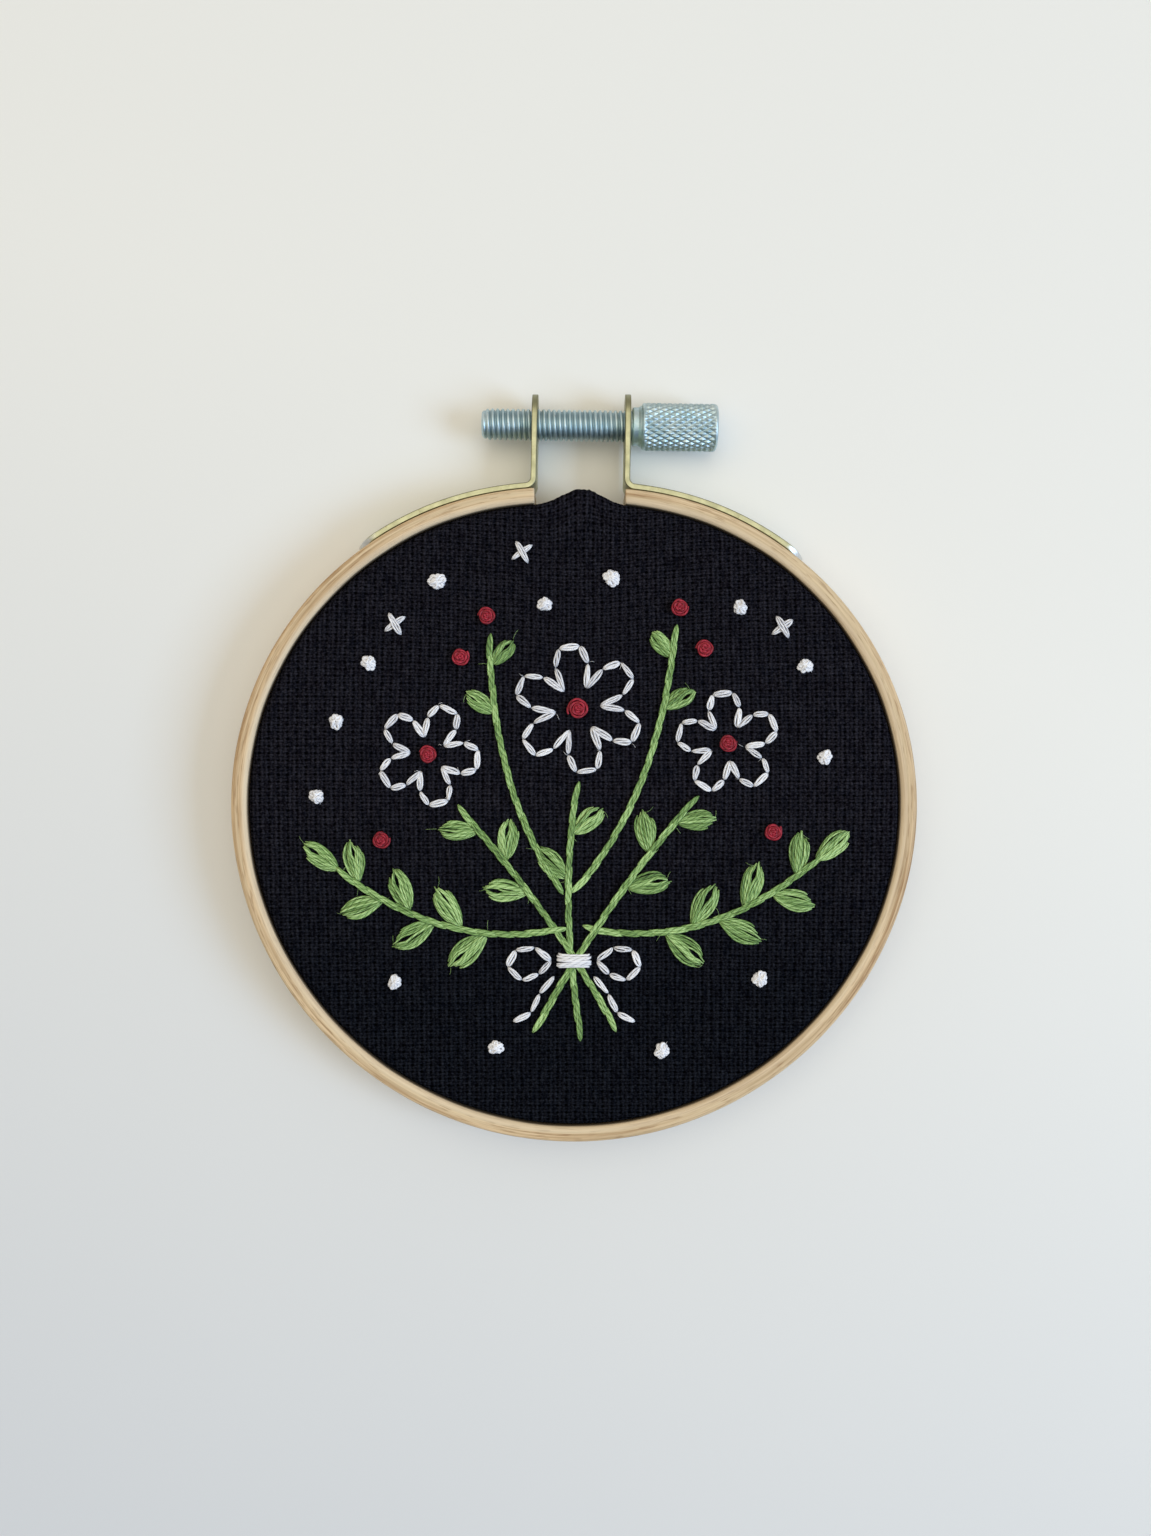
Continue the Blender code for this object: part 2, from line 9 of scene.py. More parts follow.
import bpy
import numpy as np
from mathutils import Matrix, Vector


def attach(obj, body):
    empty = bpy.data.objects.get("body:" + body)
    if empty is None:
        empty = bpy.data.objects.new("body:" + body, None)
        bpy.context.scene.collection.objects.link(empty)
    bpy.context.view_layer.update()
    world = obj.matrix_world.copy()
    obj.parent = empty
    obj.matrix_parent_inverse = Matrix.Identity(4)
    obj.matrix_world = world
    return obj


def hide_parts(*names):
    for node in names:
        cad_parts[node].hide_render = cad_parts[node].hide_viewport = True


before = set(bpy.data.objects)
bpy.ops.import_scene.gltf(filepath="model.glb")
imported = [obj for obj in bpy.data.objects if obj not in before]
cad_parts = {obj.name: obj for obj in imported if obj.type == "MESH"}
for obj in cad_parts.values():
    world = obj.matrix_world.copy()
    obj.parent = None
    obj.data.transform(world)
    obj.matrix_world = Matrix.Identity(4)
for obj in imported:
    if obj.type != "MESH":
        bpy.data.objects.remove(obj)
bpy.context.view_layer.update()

HOOP_CENTRE = np.array((0.0, -6.86, 0.0))
UP = np.array((0.0, 0.0, 1.0))

# Hoop outline: a circle that is a little wide, and flattened at the opening
RING_RADIUS = 51.76
RING_OVAL = 0.95
RING_SPRING = 0.27
RING_END_DROP = 0.90
RING_END_SPREAD = math.radians(18)
RING_WIDTH = 2.45
RING_DEPTH = 9.0
OPENING_LEFT = -6.1
OPENING_RIGHT = 7.9
END_ROUND = 0.22

# Cloth
CLOTH_FRONT = 8.7
CLOTH_THICK = 0.7
CLOTH_EDGE = RING_RADIUS - RING_WIDTH - 0.16
CLOTH_ROLL = 1.1
CLOTH_TRIM = 1.0
PUCKER_RISE = 2.3
PUCKER_AT = 1.2
PUCKER_REACH = 4.0
CLOTH_CROWDING = 0.3
WARP_PITCH = 0.70
WEFT_PITCH = 0.535
WEAVE_SPAN = 120.0                   # width of cloth that the texture square covers
PLY_TWIST = 1.3                      # length of thread in which its two plies wind once

# Inner ring
INNER_OUTSIDE = CLOTH_EDGE - CLOTH_THICK - 0.05
INNER_WIDTH = 2.5
INNER_TOP = CLOTH_FRONT - CLOTH_THICK - 0.05

# Straps and screw
STRAP_THICK = 0.9
STRAP_WIDTH = 7.6
STRAP_LEVEL = 4.5
STRAP_EDGE = 0.16
BEND_RADIUS = 1.3
STRAP_GAP = 0.12                     # between a strap and the ring
TAB_TOP = 64.8
LEAN = math.radians(1.0)
SCREW_Y = 60.05
STRAPS = (
    # name, side, tab's x at its foot, angle of the far tip
    ("left", -1, -6.25, math.radians(129.7)),
    ("right", 1, 8.2, math.radians(47.4)),
)
SCREW_TIP = -14.4
SCREW_SHAFT = 23.5
SCREW_COLLAR = 1.4
SCREW_HEAD = 11.9
THREAD_RADIUS = 2.4
THREAD_ROOT = 2.05
THREAD_PITCH = 0.8
HOLE_RADIUS = 2.62
COLLAR_RADIUS = 2.92
HEAD_RADIUS = 3.65
HEAD_CHAMFER = 0.6
KNURL_TEETH = 24
KNURL_ANGLE = math.radians(30)
KNURL_DEPTH = 0.30
PIN_HEAD = 1.5

# The posy, repeated from the source: each stem is one bend between two points
STEMS = {
    # name: foot, bend, head
    "centre": ((1.2, -35.5), (-2.6, -14.0), (0.6, 4.4)),
    "left": ((6.6, -34.0), (-3.0, -16.0), (-18.0, 0.6)),
    "right": ((-6.2, -34.4), (4.0, -15.0), (19.0, 2.2)),
    "twig_left": ((-1.4, -13.0), (-12.6, 2.0), (-13.0, 27.0)),
    "twig_right": ((-0.4, -13.0), (13.4, 2.0), (15.6, 28.4)),
    "sprig_left": ((-1.0, -18.0), (-19.0, -22.5), (-36.6, -9.0)),
    "sprig_right": ((1.2, -18.0), (20.0, -22.5), (37.6, -7.4)),
}
LEAVES = (
    # stem, first and last place along it, count, first side, length, width
    ("centre", 0.60, 0.78, 2, 1, 7.4, 3.5),
    ("left", 0.60, 0.88, 3, 1, 7.6, 3.6),
    ("right", 0.60, 0.88, 3, -1, 7.6, 3.6),
    ("twig_left", 0.74, 0.90, 2, 1, 6.0, 2.9),
    ("twig_right", 0.74, 0.90, 2, -1, 6.0, 2.9),
    ("sprig_left", 0.34, 0.90, 6, 1, 8.4, 3.8),
    ("sprig_right", 0.34, 0.90, 6, -1, 8.4, 3.8),
)
TIP_LEAVES = (("sprig_left", 7.6, 3.4), ("sprig_right", 7.6, 3.4))
LEAF_ANGLE = math.radians(46)
PETAL = ((0.0, 0.34), (0.16, 0.72), (0.34, 0.97), (0.66, 0.97), (0.84, 0.72))
BLOOMS = (
    # name, centre, reach, petals, turn in degrees, radius of the red eye
    ("centre", (0.6, 15.4), 10.0, 6, 8.0, 1.8),
    ("left", (-22.4, 8.4), 8.0, 5, 30.0, 1.5),
    ("right", (23.6, 10.2), 8.0, 5, -12.0, 1.5),
)
BOW_LOOP = ((3.5, -23.2), (6.0, -21.2), (9.0, -21.6), (10.2, -24.2), (8.0, -26.2), (5.4, -25.3))
BOW_TAIL = ((3.0, -25.6), (5.3, -28.3), (6.6, -31.2), (9.4, -32.6))
BOW_KNOT = (0.0, -23.2)
KNOTS = (
    (-36.5, 13.5), (-31.5, 22.5), (-21.0, 35.0), (-4.5, 31.5), (5.8, 35.5), (25.5, 31.0),
    (35.5, 22.0), (38.5, 8.0), (-39.5, 2.0), (-27.5, -26.5), (28.5, -26.0), (-12.0, -36.5),
    (13.5, -37.0),
)
CROSSES = ((-27.5, 28.5), (32.0, 28.0), (-8.0, 39.5))
BERRIES = (
    (-13.4, 29.6), (-17.4, 23.4), (16.2, 31.0), (20.0, 24.6), (-29.5, -4.6), (30.5, -3.4),
)
BERRY_RADIUS = 1.5


# Patches of surface

def tubes(points, length, tone=0.0, loop=False, place=None):
    """Surface over sections: points[tube, section, corner] with corners anticlockwise
    seen from the far end. Quads join neighbours, and a pole closes each end of an open
    tube at the middle of its last section. The texture runs with length and once round.
    """
    count, sections, corners = points.shape[:3]
    length = np.broadcast_to(length, (count, sections))
    length = np.concatenate([length, 2 * length[:, -1:] - length[:, -2:-1]], 1)
    tone = np.broadcast_to(np.reshape(tone, (-1, 1, 1)), (count, sections, corners))
    place = np.zeros(points.shape) if place is None else place

    def faces(tube, row, column):
        """Numbers of the points, and texture corners."""
        uv = np.stack(np.broadcast_arrays(length[tube, row], column / corners), -1)
        return (tube * sections + row % sections) * corners + column % corners, uv

    tube, row, column = np.meshgrid(*(np.arange(size) for size in (
        count, sections if loop else sections - 1, corners)), indexing="ij")
    quads, quad_uv = faces(tube[..., None], row[..., None] + (0, 0, 1, 1),
                           column[..., None] + (0, 1, 1, 0))
    made = dict(points=points.reshape(-1, 3), tone=tone.ravel(), place=place.reshape(-1, 3),
                quads=quads.reshape(-1, 4), quad_uv=quad_uv.reshape(-1, 4, 2),
                triangles=np.zeros((0, 3), int), triangle_uv=np.zeros((0, 3, 2)))
    if loop:
        return made
    tube, column = tube[:, 0, :, None], column[:, 0, :, None]
    ends = []
    for end, row, order in ((0, 0, (1, 0)), (1, sections - 1, (0, 1))):
        rim, _ = faces(tube, row, column + order)
        _, uv = faces(tube, row, column + (*order, 0.5))
        pole = len(made["points"]) + 2 * tube + end
        ends.append((np.concatenate([rim, pole], -1), uv))
    made["triangles"] = np.concatenate([rim for rim, _ in ends]).reshape(-1, 3)
    made["triangle_uv"] = np.concatenate([uv for _, uv in ends]).reshape(-1, 3, 2)
    made["tone"] = np.append(made["tone"], np.repeat(tone[:, 0, 0], 2))
    for key, given in (("points", points), ("place", place)):
        poles = given[:, [0, -1]].mean(2).reshape(-1, 3)
        made[key] = np.concatenate([made[key], poles])
    return made


def lay_mesh(name, patches, slot, replaces=(), body="hoop"):
    """Joins patches into one object of the frame, which rides on a body."""
    def joined(key, *shape):
        return np.concatenate([each[key].reshape(shape or each[key].shape) for each in patches])

    starts = np.cumsum([0] + [len(each["points"]) for each in patches])
    faces = []
    for kind in ("quads", "triangles"):
        for each, start in zip(patches, starts):
            faces += (each[kind] + start).tolist()
    mesh = bpy.data.meshes.new(name)
    mesh.from_pydata((joined("points") + HOOP_CENTRE) * 0.001, [], faces)
    uv = np.concatenate([joined("quad_uv", -1, 2), joined("triangle_uv", -1, 2)])
    mesh.uv_layers.new(name="surface").data.foreach_set("uv", uv.astype(np.float32).ravel())
    for key, kind, field in (("tone", "FLOAT", "value"), ("place", "FLOAT_VECTOR", "vector")):
        layer = mesh.attributes.new(key, kind, "POINT")
        layer.data.foreach_set(field, joined(key).astype(np.float32).ravel())
    mesh.shade_smooth()
    mesh.update(calc_edges=True)
    mesh.validate()
    mesh.materials.append(MATERIALS[slot])
    piece = bpy.data.objects.new(name, mesh)
    bpy.context.scene.collection.objects.link(piece)
    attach(piece, body)
    if replaces:
        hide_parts(*replaces)
    return piece


def unit(vectors):
    return vectors / np.maximum(np.linalg.norm(vectors, axis=-1, keepdims=True), 1e-9)


def frames(path, loop=False):
    """Across and over directions along paths: across is level, over leans up."""
    if loop:
        along = np.roll(path, -1, axis=-2) - np.roll(path, 1, axis=-2)
    else:
        along = np.gradient(path, axis=-2)
    along = unit(along)
    across = unit(np.cross(UP, along))
    return across, np.cross(along, across)


def strands(path, radius, tone, press=0.85, sides=6, loop=False):
    """Threads: a round section of each strand's radius, pressed a little flat, carried
    along its path; path is [strand, step, xyz] and radius is [strand, step].
    """
    across, over = frames(path, loop)
    turn = np.arange(sides) * 2 * np.pi / sides
    section = (np.cos(turn)[:, None] * across[:, :, None]
               + press * np.sin(turn)[:, None] * over[:, :, None])
    points = path[:, :, None] + radius[:, :, None, None] * section
    pieces = np.linalg.norm(np.diff(path, axis=1), axis=-1)
    length = np.concatenate([np.zeros((len(path), 1)), np.cumsum(pieces, axis=1)], 1)
    return tubes(points, length + 7.3 * np.arange(len(path))[:, None], tone, loop)


def turned(profile, steps, length=None):
    """Turns (radius, height) points, from bottom to top of the outside, about Z."""
    profile = np.asarray(profile, float)
    turn = np.arange(steps) * 2 * np.pi / steps
    radius, height = profile[:, :1], profile[:, 1:]
    points = np.stack([radius * np.cos(turn), radius * np.sin(turn),
                       np.broadcast_to(height, (len(profile), steps))], -1)
    if length is None:
        length = np.concatenate([[0], np.cumsum(np.linalg.norm(np.diff(profile, axis=0), axis=1))])
    return tubes(points[None], length)


def corner_arc(centre_a, centre_b, radius, first, last, count):
    """Points of an arc in a profile; angles in degrees from the first axis."""
    turn = np.radians(np.linspace(first, last, count))
    return np.stack([centre_a + radius * np.cos(turn), centre_b + radius * np.sin(turn)], -1)


# Hoop

def swell(angle):
    """How far the outline leaves a true circle: an oval, a three-fold spring, and a drop
    towards the ends at the opening that falls off as a bell.
    """
    angle = np.mod(angle, 2 * np.pi)
    drop = RING_END_DROP * np.exp(-((angle - np.pi / 2) / RING_END_SPREAD) ** 2)
    return RING_OVAL * np.cos(2 * angle) + RING_SPRING * np.sin(3 * angle) - drop


def hoop_radius(radius, angle):
    return radius + swell(angle) * radius / RING_RADIUS


def ring_section(outside, width, top, outer_round, inner_round, back_round, steps=7):
    """Rounded section in (radius, height), clockwise from the top: out, down, in, up."""
    inside = outside - width
    flat = np.linspace(0, 1, 9)[1:-1, None]
    parts = [
        corner_arc(outside - outer_round, top - outer_round, outer_round, 90, 0, steps),
        corner_arc(outside - back_round, back_round, back_round, 0, -90, 4),
        corner_arc(inside + back_round, back_round, back_round, -90, -180, 4),
        corner_arc(inside + inner_round, top - inner_round, inner_round, 180, 90, steps),
    ]
    section = []
    for part, after in zip(parts, parts[1:] + parts[:1]):
        section += [part, part[-1] + (after[0] - part[-1]) * flat]
    return np.concatenate(section)


def ring_tube(section, angle):
    """Carries a section round the hoop's outline; angle is [step, corner]."""
    radius = hoop_radius(section[..., 0], angle)
    height = np.broadcast_to(section[..., 1], angle.shape)
    return np.stack([radius * np.cos(angle), radius * np.sin(angle), height], -1)


def ring_place(section, angle, outside, folded):
    """Grain place: distance along the ring, distance in from its outside, height."""
    along = np.abs(np.mod(angle + np.pi / 2, 2 * np.pi) - np.pi) if folded else angle
    return np.stack(np.broadcast_arrays(
        along * RING_RADIUS, section[..., 0] - outside, section[..., 1]), -1)


def cut_angle(radius, x, guess):
    """Angle at which each line of the ring meets the upright cut at x, by repeated aim."""
    angle = np.full(len(radius), guess)
    for _ in range(6):
        angle = np.arccos(x / hoop_radius(radius, angle))
    return angle


def build_outer_ring():
    """The split ring: its section carried from the left cut round to the right one. Each
    line along the ring ends on the flat cut, and the end's edges are rounded.
    """
    section = ring_section(RING_RADIUS, RING_WIDTH, RING_DEPTH, 0.55, 0.85, 0.3)
    half = np.array((RING_WIDTH, RING_DEPTH)) / 2
    middle = np.array((RING_RADIUS, RING_DEPTH)) - half
    shapes, left, right = [], [], []
    for lean in np.radians(np.linspace(0, 85, 6)):
        set_back, inset = END_ROUND * (1 - math.sin(lean)), END_ROUND * (1 - math.cos(lean))
        shape = middle + (section - middle) * (1 - inset / half)
        shapes.append(shape)
        left.append(cut_angle(shape[:, 0], OPENING_LEFT - set_back, 1.5))
        right.append(cut_angle(shape[:, 0], OPENING_RIGHT + set_back, 1.5) + 2 * np.pi)
    share = np.linspace(0, 1, 520)[1:-1, None]
    angle = np.concatenate([left[::-1], left[0] + (right[0] - left[0]) * share, right])
    shape = np.concatenate([shapes[::-1], [section] * len(share), shapes])
    points, place = ring_tube(shape, angle), ring_place(shape, angle, RING_RADIUS, False)
    along = place[..., 0]
    uneven = 0.035 * np.sin(along / 5.3) + 0.025 * np.sin(along / 2.1 + 1.0)
    inner = np.clip(-place[..., 1] / RING_WIDTH, 0, 1)
    points = points + unit(points * (1, 1, 0)) * (uneven * (inner - 0.3))[..., None]
    tube = tubes(points[None], np.arange(len(points), dtype=float), place=place[None])
    return lay_mesh("split_ring", [tube], "beech", ("outer_ring",))


def build_inner_ring():
    """The closed plain ring that the cloth is stretched over."""
    section = ring_section(INNER_OUTSIDE, INNER_WIDTH, INNER_TOP, 0.45, 0.45, 0.35)
    angle = np.broadcast_to(np.linspace(0, 2 * np.pi, 361)[:-1, None], (360, len(section)))
    points = ring_tube(section, angle)
    place = ring_place(section, angle, INNER_OUTSIDE, True)
    tube = tubes(points[None], np.arange(360.0), loop=True, place=place[None])
    return lay_mesh("closed_ring", [tube], "beech", ("inner_ring",))


def cloth_profile():
    """(radius, height, cut distance) from the middle of the back, round the trimmed
    edge, up the outside, over the roll and back to the middle of the face.
    """
    inside = CLOTH_EDGE - CLOTH_THICK
    low_roll = CLOTH_ROLL - CLOTH_THICK
    back = [np.stack([np.linspace(0.4, inside - low_roll, 40),
                      np.full(40, CLOTH_FRONT - CLOTH_THICK)], -1),
            corner_arc(inside - low_roll, CLOTH_FRONT - CLOTH_ROLL, low_roll, 75, 0, 5),
            np.stack([np.full(12, inside), np.linspace(CLOTH_FRONT - CLOTH_ROLL - 0.3,
                                                       CLOTH_TRIM + 0.3, 12)], -1)]
    trim = [corner_arc(CLOTH_EDGE - CLOTH_THICK / 2, CLOTH_TRIM + CLOTH_THICK / 2,
                       CLOTH_THICK / 2, 180, 360, 7)]
    front = [np.stack([np.full(14, CLOTH_EDGE), np.linspace(CLOTH_TRIM + 0.6, CLOTH_FRONT
                                                            - CLOTH_ROLL - 0.3, 14)], -1),
             corner_arc(CLOTH_EDGE - CLOTH_ROLL, CLOTH_FRONT - CLOTH_ROLL, CLOTH_ROLL, 0, 90, 9),
             np.stack([np.linspace(CLOTH_EDGE - CLOTH_ROLL - 0.4, 0.4, 80),
                       np.full(80, CLOTH_FRONT)], -1)]
    points = np.concatenate(back + trim + front)
    size = np.linalg.norm(np.diff(points, axis=0), axis=1)
    turn_over = sum(len(part) for part in back) + 3
    walked = np.concatenate([[0], np.cumsum(size)])
    end = walked[-1]
    cut = np.where(np.arange(len(points)) < turn_over, walked, end - walked) + 0.4
    return points, cut


def build_cloth():
    """A drum skin turned about the middle, with its angles crowded towards the opening,
    bent to the hoop's outline, and swelling outwards in a bell where the opening frees it.
    The texture square is the cloth before it was stretched, so the weave follows it.
    """
    profile, cut = cloth_profile()
    steps = 320
    even = np.arange(steps) * 2 * np.pi / steps
    angle = even - CLOTH_CROWDING * np.sin(2 * (even - np.pi / 2))
    radius = profile[:, :1]
    bent = hoop_radius(radius, angle)
    near_rim = np.clip((radius - 0.80 * RING_RADIUS) / (0.14 * RING_RADIUS), 0, 1)
    x = bent * np.cos(angle)
    swelling = PUCKER_RISE * near_rim * np.exp(-((x - PUCKER_AT) / PUCKER_REACH) ** 2)
    threads = 0.03 * np.sin(2 * np.pi * x / WARP_PITCH) + 0.03 * np.sin(x / 0.37 + 1.0)
    swelling = swelling * (1 + threads)
    bent = bent + np.where(np.sin(angle) > 0, swelling, 0)
    height = np.broadcast_to(profile[:, 1:], bent.shape)
    inside = np.clip((46.0 - radius) / 6.0, 0, 1)
    wave = 0.05 * np.sin(bent * np.cos(angle) / 6.1 + 0.7) * np.sin(bent * np.sin(angle) / 7.7)
    points = np.stack([bent * np.cos(angle), bent * np.sin(angle), height + inside * wave], -1)
    tube = tubes(points[None], cut)
    heading = np.stack([np.cos(angle), np.sin(angle)], -1)
    flat = (cut[:, None, None] * heading / WEAVE_SPAN).reshape(-1, 2)
    flat = np.concatenate([flat, np.zeros((2, 2))]) + 0.5
    tube["quad_uv"] = flat[tube["quads"]]
    tube["triangle_uv"] = flat[tube["triangles"]]
    cloth = lay_mesh("stretched_cloth", [tube], "black_cloth", ("cloth",))
    return cloth


# Straps, pins and screw

def rim_point(angle, offset):
    radius = RING_RADIUS + swell(angle) + offset
    return np.stack([radius * np.cos(angle), radius * np.sin(angle)], -1)


def strap_line(side, foot_x, tip_angle):
    """Middle line of a strap seen from above: down the tab, round the bend, along the rim."""
    offset = STRAP_GAP + STRAP_THICK / 2
    turn = math.pi / 2 - side * math.radians(8)
    for _ in range(12):
        short = rim_point(turn, offset)[0] + BEND_RADIUS * (math.cos(turn) - side) - foot_x
        turn += short / RING_RADIUS
    centre = rim_point(turn, offset) + BEND_RADIUS * np.array((math.cos(turn), math.sin(turn)))
    end = STRAP_WIDTH / 2 * (1 - np.cos(np.linspace(0.06, np.pi / 2, 16)))
    y = np.concatenate([TAB_TOP - end, np.linspace(TAB_TOP - STRAP_WIDTH / 2, centre[1], 14)[1:]])
    tab = np.stack([foot_x + (y - centre[1]) * math.tan(LEAN), y], -1)
    first = math.pi if side > 0 else 0.0
    last = turn + math.pi if side > 0 else turn - math.pi
    bend = np.linspace(first, last, 14)[1:-1, None]
    bend = centre + BEND_RADIUS * np.concatenate([np.cos(bend), np.sin(bend)], 1)
    reach = abs(tip_angle - turn) * RING_RADIUS
    walked = np.concatenate([np.linspace(0, reach - STRAP_WIDTH / 2, 30)[:-1], reach - end[::-1]])
    leg = rim_point(turn + (tip_angle - turn) * walked / reach, offset)
    return np.concatenate([tab, bend, leg])


def rounded_section(half_across, half_up, edge):
    """Section of a strip in (across, up), anticlockwise, with rounded edges."""
    parts = []
    for index, (a, b) in enumerate(((1, 1), (-1, 1), (-1, -1), (1, -1))):
        turn = np.radians(np.linspace(90 * index, 90 * index + 90, 5))
        parts.append(np.stack([a * (half_across - edge) + edge * np.cos(turn),
                               b * (half_up - edge) + edge * np.sin(turn)], -1))
    return np.concatenate(parts)


def build_strap(name, side, foot_x, tip_angle):
    """A bent strip: its rounded section carried down the tab, round the bend and along
    the rim, with its height drawn in over half a circle at both ends.
    """
    line = strap_line(side, foot_x, tip_angle)
    pieces = np.linalg.norm(np.diff(line, axis=0), axis=1)
    walked = np.concatenate([[0], np.cumsum(pieces)])
    half = STRAP_WIDTH / 2
    first = half * (1 - math.cos(0.06))
    from_end = np.minimum(walked, walked[-1] - walked) + first
    short = np.clip(half - from_end, 0, half)
    half_up = np.sqrt(half ** 2 - short ** 2)
    path = np.concatenate([line, np.full((len(line), 1), STRAP_LEVEL)], 1)
    across, over = frames(path)
    sections = np.stack([rounded_section(STRAP_THICK / 2, up, min(STRAP_EDGE, 0.5 * up))
                         for up in half_up])
    points = (path[:, None] + sections[..., :1] * across[:, None]
              + sections[..., 1:] * over[:, None])
    place = np.stack([np.broadcast_to(walked[:, None], sections.shape[:2]),
                      sections[..., 0], sections[..., 1]], -1)
    strip = tubes(points[None], walked, place=place[None])
    bare = np.clip(1.15 - (walked[-1] - walked) / 4.4, 0, 1)[:, None]
    # Painted dark reflection: the strap darkens towards the tab's top.
    dull = -0.62 * np.clip(1.4 - walked / 4.5, 0, 1)[:, None]
    # Painted dark reflection: dark lines along the strap's rounded edges.
    edge_reflection = np.minimum(np.tile((0.0, -0.8, -1.0, -0.8, 0.0), 4), dull)
    strip["tone"] = np.concatenate([(bare + (1 - bare) * edge_reflection).ravel(), [-0.6, 1.0]])
    strap = lay_mesh("strip_" + name, [strip], "yellow_zinc", ("strap_" + name,))
    drill = turned([(HOLE_RADIUS, -30.0), (HOLE_RADIUS, 30.0)], 64)
    drill["points"] = screw_place(drill["points"][:, [2, 0, 1]])
    cutter = lay_mesh("drill", [drill], "yellow_zinc")
    cut = strap.modifiers.new("hole", "BOOLEAN")
    cut.operation = "DIFFERENCE"
    cut.object = cutter
    cut.solver = "EXACT"
    with bpy.context.temp_override(object=strap, active_object=strap, selected_objects=[strap]):
        bpy.ops.object.modifier_apply(modifier=cut.name)
    strap.data.materials.clear()
    strap.data.materials.append(MATERIALS["yellow_zinc"])
    strap.data.set_sharp_from_angle(angle=math.radians(50))
    bpy.data.objects.remove(cutter, do_unlink=True)
    return strap


def build_pin(name, side, tip_angle):
    """A rivet: a low domed head that stands a little proud of the strap."""
    angle = tip_angle + side * STRAP_WIDTH / 2 / RING_RADIUS
    dome = np.radians(np.linspace(4, 88, 9))
    profile = [(0.7, -2.4), (0.7, -0.9), (PIN_HEAD, -0.12)]
    profile += [(PIN_HEAD * math.cos(turn), 0.26 * math.sin(turn) - 0.04) for turn in dome]
    head = turned(profile, 40)
    outward = np.array((math.cos(angle), math.sin(angle), 0.0))
    sideways = np.cross(UP, outward)
    foot = np.append(rim_point(angle, STRAP_GAP + STRAP_THICK), STRAP_LEVEL)
    local = head["points"]
    head["points"] = (foot + local[:, :1] * sideways + local[:, 1:2] * UP
                      + local[:, 2:] * outward)
    return lay_mesh("rivet_" + name, [head], "blue_zinc", ("pin_" + name,))


def screw_place(points):
    """Puts points given with the screw's axis along X into the hoop's layout."""
    x, y, z = points[:, 0], points[:, 1], points[:, 2]
    return np.stack([x * math.cos(LEAN) + y * math.sin(LEAN),
                     SCREW_Y - x * math.sin(LEAN) + y * math.cos(LEAN), STRAP_LEVEL + z], -1)


def triangle_wave(phase):
    """1 at whole numbers and 0 half-way between them, in straight slopes."""
    return np.abs(2 * (phase - np.floor(phase)) - 1)


def round_bar(x, radius, steps):
    """Surface over circles about X: radius is a function of x and of the angle round, and
    gives the radius and how much painted shade darkens the point, in a groove.
    """
    turn = np.arange(steps) * 2 * np.pi / steps
    across, groove_shade = radius(x[:, None], turn[None, :])
    points = np.stack([np.broadcast_to(x[:, None], across.shape), across * np.cos(turn),
                       across * np.sin(turn)], -1)
    bar = tubes(points[None], x)
    bar["tone"] = np.concatenate([-np.broadcast_to(groove_shade, across.shape).ravel(), [0.0, 0.0]])
    bar["place"] = bar["points"].copy()
    bar["points"] = screw_place(bar["points"])
    return bar


def build_thumb_screw():
    """Shaft: the radius rises and falls as a rounded tooth of x / pitch less the turn,
    a right-hand helix. Head: two families of grooves, 30 degrees either side of the
    axis, leave diamonds where both triangle waves stand high.
    """
    collar = SCREW_TIP + SCREW_SHAFT
    head = collar + SCREW_COLLAR
    end = head + SCREW_HEAD

    def thread(x, turn):
        tooth = triangle_wave(x / THREAD_PITCH - turn / (2 * np.pi))
        tooth = np.clip(1.45 * tooth - 0.12, 0, 1)
        tooth = tooth * tooth * (3 - 2 * tooth)
        start = np.clip((x - SCREW_TIP) / 1.0, 0, 1)
        radius = THREAD_ROOT + (THREAD_RADIUS - THREAD_ROOT) * tooth * start
        # The second value is painted shade in the thread's grooves.
        return np.minimum(radius, THREAD_ROOT - 0.25 + (x - SCREW_TIP) * 1.2), start * (1 - tooth)

    def collar_radius(x, turn):
        edge = np.clip((x - collar) / 0.25, 0, 1)
        cone = np.clip((x - (head - 0.45)) / 0.45, 0, 1)
        return (COLLAR_RADIUS - 0.2 * (1 - edge) ** 2 + 0.30 * cone) + 0 * turn, 0.0

    def knurl(x, turn):
        from_end = np.minimum(x - head, end - x)
        slope = np.clip(from_end / HEAD_CHAMFER, 0, 1)
        plain = HEAD_RADIUS - HEAD_CHAMFER * (1 - np.sqrt(1 - (1 - slope) ** 2))
        round_pitch = 2 * np.pi * HEAD_RADIUS / KNURL_TEETH
        advance = x / (round_pitch / math.tan(KNURL_ANGLE))
        around = turn * KNURL_TEETH / (2 * np.pi)
        diamond = np.minimum(triangle_wave(around + advance), triangle_wave(around - advance))
        diamond = np.clip(diamond * 1.25, 0, 1)
        cut = np.clip((from_end - 0.35) / 0.5, 0, 1)
        # The second value is painted shade in the knurl's grooves.
        return plain - KNURL_DEPTH * cut * (1 - diamond), 0.55 * cut * (1 - diamond) ** 2

    shaft = round_bar(np.linspace(SCREW_TIP, collar + 0.4, 420), thread, 56)
    collar_bar = round_bar(np.linspace(collar, head + 0.5, 40), collar_radius, 96)
    ends = HEAD_CHAMFER * (1 - np.cos(np.linspace(0.02, np.pi / 2, 9)))
    middle = np.linspace(head + HEAD_CHAMFER, end - HEAD_CHAMFER, 110)[1:-1]
    x = np.concatenate([head + ends, middle, end - ends[::-1]])
    grip = round_bar(x, knurl, 288)
    return lay_mesh("knurled_screw", [shaft, collar_bar, grip], "blue_zinc",
                    ("thumb_screw",), body="thumb_screw")


# Stitching

def bell(share, power):
    """0 at both ends and 1 in the middle, fuller for a smaller power."""
    return np.sin(np.pi * np.clip(share, 0, 1)) ** power


